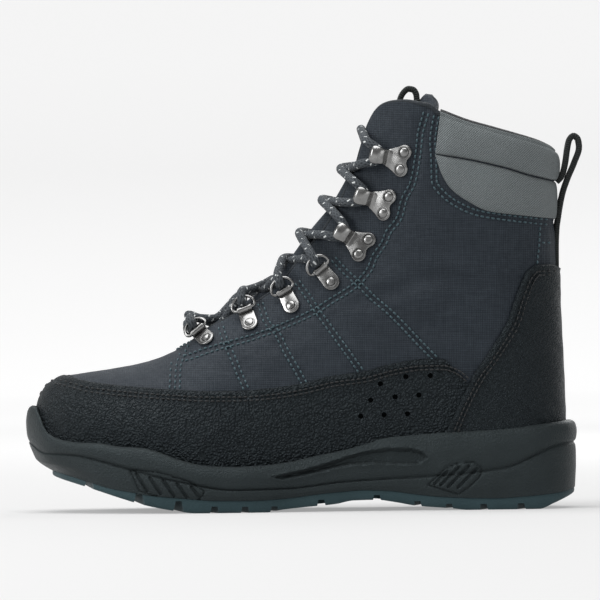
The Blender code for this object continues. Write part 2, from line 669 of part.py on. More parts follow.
def make_counter(collection, cutters, look):
    outline = side_points(COUNTER_FRONT)[::-1] + side_points(COUNTER_EDGE)[1:]
    outline += foot_edge(outline[-1][0], outline[0][0], COUNTER_FOOT_RISE)
    return make_overlay("heel_counter", collection, cutters, look, form_rows(15, 28), outline)


# Collar pads
def collar_stations():
    """Turns from the outer front, round the back, to the inner front."""
    turns = [k / TURN_STEPS for k in range(PAD_FIRST_STEP, TURN_STEPS + 1)]
    return [(OUTER, turn) for turn in turns] + [(INNER, turn) for turn in turns[-2::-1]]


def pad_sections(line_top, line_foot, profile):
    """profile lists share of the way up and lift, and beyond the top in metres."""
    sections = []
    for side, turn in collar_stations():
        top = row_on_line(turn, side, line_top)
        foot = row_on_line(turn, side, line_foot)
        back = max(0.0, (turn - 0.75) / 0.25)
        section = []
        for share, beyond, lift in profile(back):
            row = foot + (top - foot) * share
            point = lifted_point(min(row, LAST_ROW), turn, side, lift)
            point[2] += beyond
            section.append(point)
        sections.append(section)
    return sections


def upper_pad_profile(back):
    puff = PAD_PUFF * (1.0 + 0.15 * back)
    inside = -UPPER_WALL - GAP
    return ((0.015, 0.0, GAP), (0.015, 0.0, GAP + PAD_SKIN), (0.16, 0.0, GAP + PAD_SKIN + 0.75 * puff),
            (0.50, 0.0, GAP + PAD_SKIN + puff), (0.85, 0.0, GAP + PAD_SKIN + 0.8 * puff),
            (1.0, 0.55 * PAD_ROLL, GAP + PAD_SKIN), (1.0, PAD_ROLL, -UPPER_WALL),
            (1.0, 0.6 * PAD_ROLL, inside - PAD_LINING), (0.6, 0.0, inside - PAD_LINING * 1.2),
            (0.2, 0.0, inside - PAD_LINING * 0.8), (0.1, 0.0, inside), (0.55, 0.0, inside),
            (1.0, 2.0 * GAP, inside), (1.0, 2.0 * GAP, GAP), (0.5, 0.0, GAP))


def lower_pad_profile(back):
    puff = BAND_PUFF * (1.0 - 0.35 * back)
    return ((0.0, 0.0, GAP), (0.0, 0.0, GAP + PAD_SKIN), (0.25, 0.0, GAP + PAD_SKIN + 0.8 * puff),
            (0.5, 0.0, GAP + PAD_SKIN + puff), (0.75, 0.0, GAP + PAD_SKIN + 0.8 * puff),
            (0.985, 0.0, GAP + PAD_SKIN), (0.985, 0.0, GAP), (0.5, 0.0, GAP))


def make_collar_pad(collection, look):
    sections = pad_sections(top_edge_line, height_line(BAND_SEAM), upper_pad_profile)
    item = object_from("collar_pad", lambda work: tube_of_sections(work, sections), collection, look)
    smooth(item, 50.0)
    return item


def make_collar_band(collection, look):
    sections = pad_sections(height_line(BAND_SEAM), height_line(BAND_FOOT), lower_pad_profile)
    item = object_from("collar_band", lambda work: tube_of_sections(work, sections), collection, look)
    smooth(item, 50.0)
    return item


# Tongue
TONGUE_ROWS = (9.9, 11.0, 12.2, 13.6, 15.2, 17.0, 19.0, 21.2, 23.4, 25.6, 27.4, 28.8, 29.9, 30.85)


def tongue_lean(row):
    """How far the tongue's top leans back into the shaft."""
    first, last = 24.5, TONGUE_ROWS[-1]
    share = np.clip((row - first) / (last - first), 0.0, 1.0)
    return TONGUE_LEAN * float(share * share * (3.0 - 2.0 * share))


def tongue_lift(row, y_share, half_gap):
    """The tongue is flush in the throat and dives under the upper's edges."""
    under = -(UPPER_WALL + 4.0 * GAP)
    flush = -2.0 * GAP
    edge = (half_gap - 0.0015) / (half_gap + TONGUE_TUCK)
    rise = np.clip((abs(y_share) - edge * 0.55) / (edge * 0.45), 0.0, 1.0)
    opened = np.clip((row - THROAT_START_ROW - 0.8) / 1.2, 0.0, 1.0)
    return flush * opened + under * (1.0 - opened) + (under - flush) * opened * rise


def make_tongue(collection, look):
    half_gap = THROAT_WIDTH / 2.0
    shares = (-1.0, -0.8, -0.58, -0.3, 0.0, 0.3, 0.58, 0.8, 1.0)
    sections = []
    for row in TONGUE_ROWS:
        outside, inside = [], []
        for share in shares:
            side = OUTER if share < 0 else INNER
            y = abs(share) * (half_gap + TONGUE_TUCK)
            turn = turn_for_half_gap(row, side, y)
            lift = tongue_lift(row, share, half_gap)
            thick = TONGUE_THICKNESS * (1.0 - 0.45 * abs(share) ** 3)
            shift = np.array([tongue_lean(row), 0.0, 0.0])
            outside.append(lifted_point(row, turn, side, lift) + shift)
            inside.append(lifted_point(row, turn, side, lift - thick) + shift)
        sections.append(outside + inside[::-1])
    item = object_from("tongue", lambda work: tube_of_sections(work, sections), collection, look)
    smooth(item, 50.0)
    return item


# Webbing loops
def make_webbing(name, table, width, collection, look):
    points = side_points(table)
    half = WEBBING / 2.0

    def build(work):
        sections = []
        for i, (x, z) in enumerate(points):
            before = points[max(i - 1, 0)]
            after = points[min(i + 1, len(points) - 1)]
            along = Vector((after[0] - before[0], after[1] - before[1])).normalized()
            across = Vector((-along.y, along.x)) * half
            sections.append([(x + across.x, -width / 2.0, z + across.y),
                             (x + across.x, width / 2.0, z + across.y),
                             (x - across.x, width / 2.0, z - across.y),
                             (x - across.x, -width / 2.0, z - across.y)])
        tube_of_sections(work, sections)
    item = object_from(name, build, collection, look)
    smooth(item)
    return item


# Sole
def sole_outline(steps=OUTLINE_STEPS):
    """Points round the sole: toe to heel on the outer side, back on the inner."""
    ways = [math.acos(1.0 - 2.0 * row[0]) / math.pi for row in OUTLINE]
    outer = smooth_curve(ways, [row[1] for row in OUTLINE])
    inner = smooth_curve(ways, [row[2] for row in OUTLINE])
    points = []
    for k in range(steps + 1):
        way = k / steps
        x = float(x_at((1.0 - math.cos(math.pi * way)) / 2.0))
        points.append((x, -float(outer(way)) * BALL_WIDTH))
    for k in range(steps - 1, 0, -1):
        way = k / steps
        x = float(x_at((1.0 - math.cos(math.pi * way)) / 2.0))
        points.append((x, float(inner(way)) * BALL_WIDTH))
    return np.array(points)


def outline_normals(points):
    tangent = np.roll(points, -1, axis=0) - np.roll(points, 1, axis=0)
    normal = np.stack([tangent[:, 1], -tangent[:, 0]], axis=1)
    normal /= np.linalg.norm(normal, axis=1, keepdims=True)
    middle = points.mean(axis=0)
    outward = np.sign(((points - middle) * normal).sum(axis=1).mean())
    return normal * outward


def sole_loop(inset, height):
    """inset and height are functions of the outline's x."""
    points = sole_outline()
    normals = outline_normals(points)
    loop = []
    for (x, y), (nx, ny) in zip(points, normals):
        away = inset(x)
        moved = x - nx * away
        loop.append((moved, y - ny * away, float(height(moved))))
    return loop


def sole_tuck(x):
    return float(tuck_curve(share_at(x))) * BALL_WIDTH


def midsole_loops():
    def part_way(lower, upper, share):
        return lambda x: lower(x) + (upper(x) - lower(x)) * share
    return [
        sole_loop(sole_tuck, seam_line),
        sole_loop(lambda x: 0.35 * sole_tuck(x) + 0.2 * MM, part_way(seam_line, groove_line, 0.42)),
        sole_loop(lambda x: 0.10 * sole_tuck(x) + 0.6 * MM, part_way(seam_line, groove_line, 0.86)),
        sole_loop(lambda x: 1.9 * MM, groove_line),
        sole_loop(lambda x: 0.7 * MM, part_way(groove_line, rim_line, 0.16)),
        sole_loop(lambda x: 0.0, part_way(groove_line, rim_line, 0.5)),
        sole_loop(lambda x: 1.3 * MM, part_way(groove_line, rim_line, 0.9)),
        sole_loop(lambda x: 3.6 * MM, rim_line),
    ]


def side_cutter(name, outline, side, depth, cutters):
    """A cutter with an outline seen from the side, reaching depth into the sole."""
    points = sole_outline()
    half = len(points) // 2
    line = points[:half + 1] if side < 0 else np.vstack([points[half:], points[:1]])[::-1]
    order = np.argsort(line[:, 0])
    reach = lambda x: float(np.interp(x, line[order, 0], line[order, 1]))

    def build(work):
        near = [work.verts.new((x, reach(x) - side * depth, z)) for x, z in outline]
        far = [work.verts.new((x, side * BALL_WIDTH, z)) for x, z in outline]
        count = len(near)
        work.faces.new(near)
        work.faces.new(list(reversed(far)))
        for i in range(count):
            k = (i + 1) % count
            work.faces.new((near[i], near[k], far[k], far[i]))
        bmesh.ops.triangulate(work, faces=[face for face in work.faces if len(face.verts) > 4])
    return mark_cutter(object_from(name, build, cutters))


def slash_outline(at, z, length, lean):
    """A slot with round ends, leaning by degrees from level."""
    centre = Vector((float(x_at(at)), z * SHAFT_HEIGHT))
    along = Vector((math.cos(math.radians(lean)), math.sin(math.radians(lean))))
    points = []
    for end in (1.0, -1.0):
        for k in range(3):
            angle = math.radians(lean) + (0.0 if end > 0 else math.pi) + math.radians(-60.0 + 60.0 * k)
            offset = Vector((math.cos(angle), math.sin(angle))) * SLASH_WIDTH / 2.0
            points.append(tuple(centre + along * end * (length - SLASH_WIDTH) / 2.0 + offset))
    return points


def make_midsole(collection, cutters, look):
    def build(work):
        rows = add_loops(work, midsole_loops())
        add_ladder(work, rows[0])
        add_ladder(work, rows[-1])
    item = object_from("midsole", build, collection, look)
    cup = form_block("cup_cutter", cutters, 4.0 * GAP + RAND_THICKNESS)
    cut_with(item, cup)
    for side, label in ((OUTER, "outer"), (INNER, "inner")):
        recess = side_cutter("scallop_" + label, side_points(SCALLOP), side, SCALLOP_DEPTH, cutters)
        cut_with(item, recess, solver="MANIFOLD")
        for k, slash in enumerate(SLASHES):
            name = f"slash_{label}_{k + 1}"
            cutter = side_cutter(name, slash_outline(*slash), side, SLASH_DEPTH, cutters)
            cut_with(item, cutter, solver="MANIFOLD")
    apply_modifiers(item)
    smooth(item, 32.0)
    return item


def make_outsole(collection, cutters, look):
    inset = lambda extra: (lambda x: sole_tuck(x) + extra)

    def build(work):
        rows = add_loops(work, [
            sole_loop(inset(1.2 * MM), ground_line),
            sole_loop(inset(OUTSOLE_TUCK), lambda x: ground_line(x) + (seam_line(x) - GAP - ground_line(x)) * 0.3),
            sole_loop(inset(OUTSOLE_TUCK), lambda x: seam_line(x) - GAP),
        ])
        add_ladder(work, rows[0])
        add_ladder(work, rows[-1])
    item = object_from("outsole", build, collection, look)
    groove_objects = bpy.data.collections.new("lug_grooves")
    cutters.children.link(groove_objects)
    for k, (at, sweep) in enumerate(CROSS_GROOVES):
        for side in (OUTER, INNER):
            x = float(x_at(at))
            depth = min(LUG_DEPTH, 0.45 * float(seam_line(x) - ground_line(x)))
            label = "outer" if side < 0 else "inner"
            reach = BALL_WIDTH * 0.62
            top = float(ground_line(x)) + depth
            bpy.ops.mesh.primitive_cube_add(size=1.0)
            bar = bpy.context.object
            bar.name = f"groove_{label}_{k + 1}"
            turn = Matrix.Rotation(math.radians(-side * sweep), 4, "Z")
            shift = Matrix.Translation((0.0, side * (reach / 2.0 + 0.004), -0.010))
            scale = Matrix.Diagonal((GROOVE_WIDTH, reach, 0.020, 1.0))
            bar.data.transform(Matrix.Translation((x, 0.0, top)) @ turn @ shift @ scale)
            for holder in bar.users_collection:
                holder.objects.unlink(bar)
            groove_objects.objects.link(bar)
            mark_cutter(bar)
            cut_with(item, bar)
    apply_modifiers(item)
    smooth(item, 32.0)
    return item


def make_insole(collection, look):
    rows = [1, 2, 3, 4, 5, 6, 7, 8, 9, 10, 11, 12, 13, 14, 15, 16, 17, 18, 18.6, 19.2]
    inset = -(UPPER_WALL + 8.0 * GAP)

    def loop(raise_by):
        outer, inner = [], []
        for row in rows:
            for side, line in ((OUTER, outer), (INNER, inner)):
                point = lifted_point(row, 1.0, side, inset)
                point[2] = foot_bed(point[0]) + raise_by
                line.append(tuple(point))
        tip = lifted_point(0.3, 0.5, OUTER, inset)
        tip = (tip[0] + 0.4 * MM, LAST["centre"](0) * BALL_WIDTH, float(foot_bed(tip[0])) + raise_by)
        back = form_point(CLOSED_BACK_ROW, 1.0, OUTER)
        back = (back[0] + 2.0 * inset, 0.0, float(foot_bed(back[0])) + raise_by)
        return [tip] + outer + [back] + inner[::-1]

    def build(work):
        rows_made = add_loops(work, [loop(2.0 * GAP), loop(2.0 * GAP + INSOLE_THICKNESS)])
        add_ladder(work, rows_made[0])
        add_ladder(work, rows_made[1])
    item = object_from("insole", build, collection, look)
    smooth(item, 30.0)
    return item


# Fittings
def fitting_frame(row, turn, side, head_row, head_turn):
    """X across, Y towards the throat, Z out of the upper, at the rivet."""
    origin = Vector(form_point(row, turn, side))
    out = Vector(form_normal(row, turn, side))
    towards = Vector(form_point(head_row, head_turn, side)) - origin
    towards = (towards - out * towards.dot(out)).normalized()
    across = towards.cross(out)
    frame = Matrix((across, towards, out)).transposed().to_4x4()
    return Matrix.Translation(origin + out * GAP) @ frame


def fitting_places(table):
    """A frame and a bar distance for each fitting and side."""
    places = []
    for k, (rivet_x, rivet_z, head_x, head_z) in enumerate(table):
        row, turn = find_on_form(float(x_at(rivet_x)), rivet_z * SHAFT_HEIGHT, OUTER)
        head_row, head_turn = find_on_form(float(x_at(head_x)), head_z * SHAFT_HEIGHT, OUTER)
        for side, label in ((OUTER, "outer"), (INNER, "inner")):
            frame = fitting_frame(row, turn, side, head_row, head_turn)
            places.append((k + 1, label, frame))
    return places




def round_outline(centre, radius, start, end, count):
    return [(centre[0] + radius * math.cos(math.radians(start + (end - start) * k / (count - 1))),
             centre[1] + radius * math.sin(math.radians(start + (end - start) * k / (count - 1))))
            for k in range(count)]


def flat_plate(name, outline, thickness, collection, low=0.0):
    def build(work):
        tube_of_sections(work, [[(x, y, low) for x, y in outline],
                                [(x, y, low + thickness) for x, y in outline]])
    return object_from(name, build, collection)


def rivet(name, x, y, low, width, height, collection, sides=7):
    ring = lambda radius, z: [(x + radius * math.cos(2 * math.pi * k / sides),
                               y + radius * math.sin(2 * math.pi * k / sides), z) for k in range(sides)]
    def build(work):
        tube_of_sections(work, [ring(width / 2.0, low), ring(width / 2.0, low + height * 0.6),
                                ring(width * 0.3, low + height)])
    return object_from(name, build, collection)


def clip_mesh(collection):
    """A folded plate: an eye for the ring's bar and a round end with a rivet."""
    half = CLIP_WIDTH / 2.0
    outline = [(half * 0.98, BAR_REACH), (half, 0.0)]
    outline += round_outline((0.0, 0.0), half, 0.0, -180.0, 6)[1:-1]
    outline += [(-half, 0.0), (-half * 0.98, BAR_REACH)]
    plate = flat_plate("clip_plate", outline, CLIP_PLATE, collection)
    inner_radius = RING_WIRE / 2.0 + GAP
    outer_radius = inner_radius + EYE_WALL
    eye_half = half * 0.92

    def build_eye(work):
        sides = 7
        loops = []
        for radius, x in ((outer_radius, -eye_half), (outer_radius, eye_half),
                          (inner_radius, eye_half), (inner_radius, -eye_half)):
            loops.append([(x, BAR_REACH + radius * math.cos(2 * math.pi * k / sides),
                           BAR_HEIGHT + radius * math.sin(2 * math.pi * k / sides)) for k in range(sides)])
        rows = add_loops(work, loops)
        for i in range(sides):
            k = (i + 1) % sides
            work.faces.new((rows[-1][i], rows[-1][k], rows[0][k], rows[0][i]))
    eye = object_from("clip_eye", build_eye, collection)
    bore = [(x, BAR_REACH + inner_radius * math.cos(2 * math.pi * k / 7),
             BAR_HEIGHT + inner_radius * math.sin(2 * math.pi * k / 7))
            for x in (-half * 1.3, half * 1.3) for k in range(7)]
    pin = object_from("clip_bore", lambda work: tube_of_sections(work, [bore[:7], bore[7:]]), collection)
    cut_with(plate, pin)
    apply_modifiers(plate)
    bpy.data.objects.remove(pin, do_unlink=True)
    head = rivet("clip_rivet", 0.0, 0.0, CLIP_PLATE * 0.5, RIVET_WIDTH, RIVET_HEIGHT, collection)
    join_by_union(plate, [eye, head])
    mesh = plate.data
    bpy.data.objects.remove(plate, do_unlink=True)
    return mesh


def ring_mesh(collection):
    """A D of wire: a straight bar in the eye and a bow that leans outward."""
    half = RING_WIDTH / 2.0
    lean = math.radians(22.0)
    points = []
    corner = 0.0016
    reach = RING_REACH
    for x, y in ([(-half + corner, 0.0), (0.0, 0.0), (half - corner, 0.0), (half, corner)]
                 + [(half * math.cos(math.radians(a)), corner + (reach - corner) * math.sin(math.radians(a)))
                    for a in (26, 58, 90, 122, 154)] + [(-half, corner)]):
        points.append((x, BAR_REACH + y * math.cos(lean), BAR_HEIGHT + y * math.sin(lean)))
    return wire_mesh("ring", points, RING_WIRE, collection, cyclic=True)


def wire_mesh(name, points, width, collection, cyclic=False, resolution=1):
    curve = bpy.data.curves.new(name, "CURVE")
    curve.dimensions = "3D"
    curve.bevel_depth = width / 2.0
    curve.bevel_resolution = resolution
    curve.use_fill_caps = not cyclic
    line = curve.splines.new("POLY")
    line.points.add(len(points) - 1)
    for point, place in zip(line.points, points):
        point.co = (*place, 1.0)
    line.use_cyclic_u = cyclic
    item = bpy.data.objects.new(name, curve)
    collection.objects.link(item)
    view = bpy.context.evaluated_depsgraph_get()
    view.update()
    mesh = bpy.data.meshes.new_from_object(item.evaluated_get(view))
    bpy.data.objects.remove(item, do_unlink=True)
    work = bmesh.new()
    work.from_mesh(mesh)
    bmesh.ops.remove_doubles(work, verts=work.verts, dist=1e-5)
    bmesh.ops.recalc_face_normals(work, faces=work.faces)
    work.to_mesh(mesh)
    work.free()
    return mesh




def hook_mesh(collection):
    """A plate with two riveted lobes and a lip that curls over the lace."""
    lobe = HOOK_LOBE / 2.0
    pitch = HOOK_RIVET_PITCH / 2.0
    neck = HOOK_HEAD_WIDTH / 2.0
    outline = [(neck * 0.8, HOOK_HEAD_REACH - 0.002), (neck * 0.9, lobe)]
    outline += round_outline((pitch, 0.0), lobe, 60.0, -120.0, 5)
    outline += [(0.0, -lobe * 0.45)]
    outline += round_outline((-pitch, 0.0), lobe, -60.0, -240.0, 5)
    outline += [(-neck * 0.9, lobe), (-neck * 0.8, HOOK_HEAD_REACH - 0.002)]
    plate = flat_plate("hook_plate", outline, HOOK_PLATE, collection)
    curl = [(HOOK_HEAD_REACH - 0.0035, 0.0002), (HOOK_HEAD_REACH - 0.0012, 0.0010),
            (HOOK_HEAD_REACH - 0.0004, 0.0030), (HOOK_HEAD_REACH + 0.0006, 0.0052),
            (HOOK_HEAD_REACH + 0.0030, 0.0070), (HOOK_HEAD_REACH + 0.0056, 0.0072)]
    widths = (0.80, 0.74, 0.62, 0.70, 0.92, 1.0)

    def build_curl(work):
        sections = []
        for i, ((y, z), share) in enumerate(zip(curl, widths)):
            before, after = curl[max(i - 1, 0)], curl[min(i + 1, len(curl) - 1)]
            along = Vector((after[0] - before[0], after[1] - before[1])).normalized()
            off = Vector((-along.y, along.x)) * HOOK_PLATE
            half = neck * share
            sections.append([(-half, y, z), (half, y, z), (half, y + off.x, z + off.y),
                             (-half, y + off.x, z + off.y)])
        tube_of_sections(work, sections)
    lip = object_from("hook_lip", build_curl, collection)
    heads = [rivet(f"hook_rivet_{k}", x, 0.0, HOOK_PLATE * 0.5, RIVET_WIDTH * 1.1, RIVET_HEIGHT, collection)
             for k, x in enumerate((-pitch, pitch))]
    join_by_union(plate, [lip] + heads)
    mesh = plate.data
    bpy.data.objects.remove(plate, do_unlink=True)
    return mesh


def place_fittings(collection, look):
    clip = clip_mesh(collection)
    ring = ring_mesh(collection)
    hook = hook_mesh(collection)
    placed = {}
    lift = Matrix.Translation((0.0, 0.0, 0.6 * MM))
    for number, label, frame in fitting_places(RINGS):
        for kind, mesh in (("lace_clip", clip), ("d_ring", ring)):
            add_fitting(f"{kind}_{label}_{number}", mesh, frame @ lift, collection, look)
        placed[(number, label)] = frame @ lift
    for number, label, frame in fitting_places(HOOKS):
        add_fitting(f"speed_hook_{label}_{number}", hook, frame @ lift, collection, look)
        placed[(number + len(RINGS), label)] = frame @ lift
    return placed


def add_fitting(name, mesh, frame, collection, look):
    item = bpy.data.objects.new(name, mesh)
    if look.name not in mesh.materials:
        mesh.materials.append(look)
    collection.objects.link(item)
    item.matrix_world = frame
    smooth(item, 35.0)


# Laces
def lace_anchor(placed, level, label, leaving):
    """Where the lace meets a ring or a hook, just clear of the metal.

    leaving is 1 for the strand that goes up the boot and -1 for the one from below.
    """
    frame = placed[(level, label)]
    if level <= len(RINGS):
        local = Vector((0.0, BAR_REACH + RING_REACH + 0.0040, BAR_HEIGHT + 0.0062))
    else:
        local = Vector((0.0, HOOK_HEAD_REACH + 0.0100, 0.0040))
    place = frame @ local
    row, _ = find_on_form(place.x, place.z, OUTER)
    up = Vector(form_point(row + 0.5, 0.0, OUTER) - form_point(row - 0.5, 0.0, OUTER)).normalized()
    return place + up * leaving * LACE_WIDTH * 0.62


def make_crossing(name, placed, low, high, collection, look):
    """Two strands that cross over the tongue and are joined where they meet."""
    strands = []
    for start, end, rise in (("outer", "inner", 0.0), ("inner", "outer", 0.4 * LACE_WIDTH)):
        first = lace_anchor(placed, low, start, 1.0)
        last = lace_anchor(placed, high, end, -1.0)
        middle = (first + last) / 2.0
        row, _ = find_on_form(middle.x, middle.z, OUTER)
        out = Vector(form_normal(row, 0.0, OUTER))
        crest = Vector(form_point(row, 0.0, OUTER)) + out * (LACE_WIDTH * 0.95 + rise)
        crest.y = middle.y
        points = [first, first.lerp(crest, 0.5) + out * 0.0012, crest, last.lerp(crest, 0.5) + out * 0.0012, last]
        mesh = wire_mesh(name, [tuple(point) for point in points], LACE_WIDTH, collection)
        strand = bpy.data.objects.new(name + start, mesh)
        collection.objects.link(strand)
        strands.append(strand)
    item, other = strands
    join_by_union(item, [other])
    item.name = name
    item.data.materials.clear()
    item.data.materials.append(look)
    smooth(item, 50.0)
    return item


def make_bar(name, placed, level, collection, look):
    first = lace_anchor(placed, level, "outer", -1.0)
    last = lace_anchor(placed, level, "inner", -1.0)
    middle = (first + last) / 2.0
    row, _ = find_on_form(middle.x, middle.z, OUTER)
    out = Vector(form_normal(row, 0.0, OUTER))
    crest = Vector(form_point(row, 0.0, OUTER)) + out * LACE_WIDTH * 0.95
    crest.y = middle.y
    points = [first, first.lerp(crest, 0.5), crest, last.lerp(crest, 0.5), last]
    mesh = wire_mesh(name, [tuple(point) for point in points], LACE_WIDTH, collection)
    item = bpy.data.objects.new(name, mesh)
    collection.objects.link(item)
    item.data.materials.append(look)
    smooth(item, 50.0)
    return item


def make_laces(placed, collection, look):
    make_bar("lace_bar", placed, 1, collection, look)
    levels = len(RINGS) + len(HOOKS)
    for low in range(1, levels):
        make_crossing(f"lace_crossing_{low}", placed, low, low + 1, collection, look)


def main():
    clear_scene()
    boot = new_collection("wading_boot")
    cutters = new_collection("cutters")
    canvas = material("navy_canvas", (0.030, 0.040, 0.052), 0.85)
    pebbled = material("black_rubberised", (0.012, 0.014, 0.015), 0.6)
    foam = material("charcoal_midsole", (0.030, 0.033, 0.034), 0.55)
    tread = material("slate_rubber", (0.035, 0.060, 0.075), 0.6)
    knit = material("grey_knit", (0.115, 0.130, 0.130), 0.9)
    webbing = material("black_webbing", (0.012, 0.014, 0.013), 0.8)
    nickel = material("nickel", (0.62, 0.62, 0.60), 0.25, 1.0)
    cord = material("grey_cord", (0.045, 0.050, 0.055), 0.8)
    lining = material("dark_lining", (0.020, 0.022, 0.024), 0.9)

    make_outsole(boot, cutters, tread)
    make_midsole(boot, cutters, foam)
    make_insole(boot, lining)
    make_upper(boot, canvas)
    make_rand(boot, cutters, pebbled)
    make_counter(boot, cutters, pebbled)
    make_collar_pad(boot, knit)
    make_collar_band(boot, knit)
    make_tongue(boot, canvas)
    make_webbing("heel_loop", HEEL_LOOP, WEBBING_WIDTH, boot, webbing)
    make_webbing("tongue_loop", TONGUE_LOOP, WEBBING_WIDTH, boot, webbing)
    placed = place_fittings(boot, nickel)
    make_laces(placed, boot, cord)


main()
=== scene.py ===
"""The looks of a lace-up wading boot for the left foot.

Metres, +Z up. The toe points along -X, the heel along +X, and the outer side
of the foot is at -Y. Every visible piece is laid over the same form of the
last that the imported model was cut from.
"""
import json
import math

import bmesh
import bpy
import numpy as np
from mathutils import Matrix, Vector

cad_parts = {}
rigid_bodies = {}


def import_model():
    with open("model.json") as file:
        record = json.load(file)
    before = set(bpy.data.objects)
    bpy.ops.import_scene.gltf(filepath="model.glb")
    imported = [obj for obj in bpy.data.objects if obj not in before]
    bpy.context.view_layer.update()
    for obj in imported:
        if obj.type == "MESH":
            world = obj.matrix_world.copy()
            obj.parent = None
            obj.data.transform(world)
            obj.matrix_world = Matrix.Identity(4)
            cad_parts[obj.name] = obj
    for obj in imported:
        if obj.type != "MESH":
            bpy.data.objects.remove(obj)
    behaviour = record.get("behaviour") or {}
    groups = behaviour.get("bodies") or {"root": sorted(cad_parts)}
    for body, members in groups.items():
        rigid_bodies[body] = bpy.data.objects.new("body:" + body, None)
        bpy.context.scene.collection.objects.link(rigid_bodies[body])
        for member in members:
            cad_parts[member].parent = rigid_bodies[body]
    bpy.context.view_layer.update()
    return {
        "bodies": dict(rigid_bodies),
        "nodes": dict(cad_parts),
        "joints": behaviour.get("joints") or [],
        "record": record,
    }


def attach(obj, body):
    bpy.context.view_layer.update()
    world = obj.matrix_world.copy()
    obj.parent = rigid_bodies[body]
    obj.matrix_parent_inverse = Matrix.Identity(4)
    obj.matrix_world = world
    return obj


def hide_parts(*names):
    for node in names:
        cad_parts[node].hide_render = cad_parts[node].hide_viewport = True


MM = 0.001
OUTER, INNER = -1.0, 1.0
SIDES = ((OUTER, "outer"), (INNER, "inner"))

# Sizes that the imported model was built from
SOLE_LENGTH = 0.317
BALL_WIDTH = 0.112
SHAFT_HEIGHT = 0.234
HEEL_LOOP_REACH = 0.004
BOOT_LENGTH = SOLE_LENGTH + HEEL_LOOP_REACH
GAP = 0.0003
UPPER_WALL = 0.0020
RAND_THICKNESS = 0.0015
THROAT_WIDTH = 0.025
THROAT_START_ROW = 10.7
TONGUE_TUCK = 0.010
TONGUE_LEAN = 0.027
RING_WIRE = 0.0015
RING_WIDTH = 0.0135
RING_REACH = 0.0078
CLIP_WIDTH = 0.0097
CLIP_PLATE = 0.0009
EYE_WALL = 0.0008
BAR_REACH = 0.0096
BAR_HEIGHT = RING_WIRE / 2.0 + EYE_WALL + GAP + 0.0003
HOOK_PLATE = 0.0011
HOOK_LOBE = 0.0074
HOOK_RIVET_PITCH = 0.0100
HOOK_HEAD_WIDTH = 0.0095
HOOK_HEAD_REACH = 0.0105
LACE_WIDTH = 0.0050
VENT_WIDTH = 0.0028

# Sizes that only this model has
COUNTER_THICKNESS = 0.0013
COUNTER_LIFT = GAP + RAND_THICKNESS * 0.9
WEBBING_WIDTH = 0.0130
WEBBING_THICKNESS = 0.0034
WEBBING_STEP = 0.0008
BINDING_RADIUS = 0.00155
COLLAR_ROLL_HEIGHT = 0.0032
COLLAR_LINING_PUFF = 0.0042
LUG_DEPTH = 0.0034
LUG_GROOVE_WIDTH = 0.0046
LUG_GROOVE_LENGTH = 0.064
LUG_GROOVE_SIDE = 0.036
SLIT_DEPTH = 0.0022
SLIT_WIDTH = 0.0028
SLIT_LENGTH = 0.022
SLIT_SIDE = 0.0145
SLIT_TURN = 30.0
CLIP_RIVET_WIDTH = 0.0048
HOOK_RIVET_WIDTH = 0.0053
FITTING_LIFT = GAP + 0.0006

# Steps between points, in metres
MIDSOLE_STEP = 0.00062
OUTSOLE_STEP = 0.0012
LACE_STEP = 0.00075

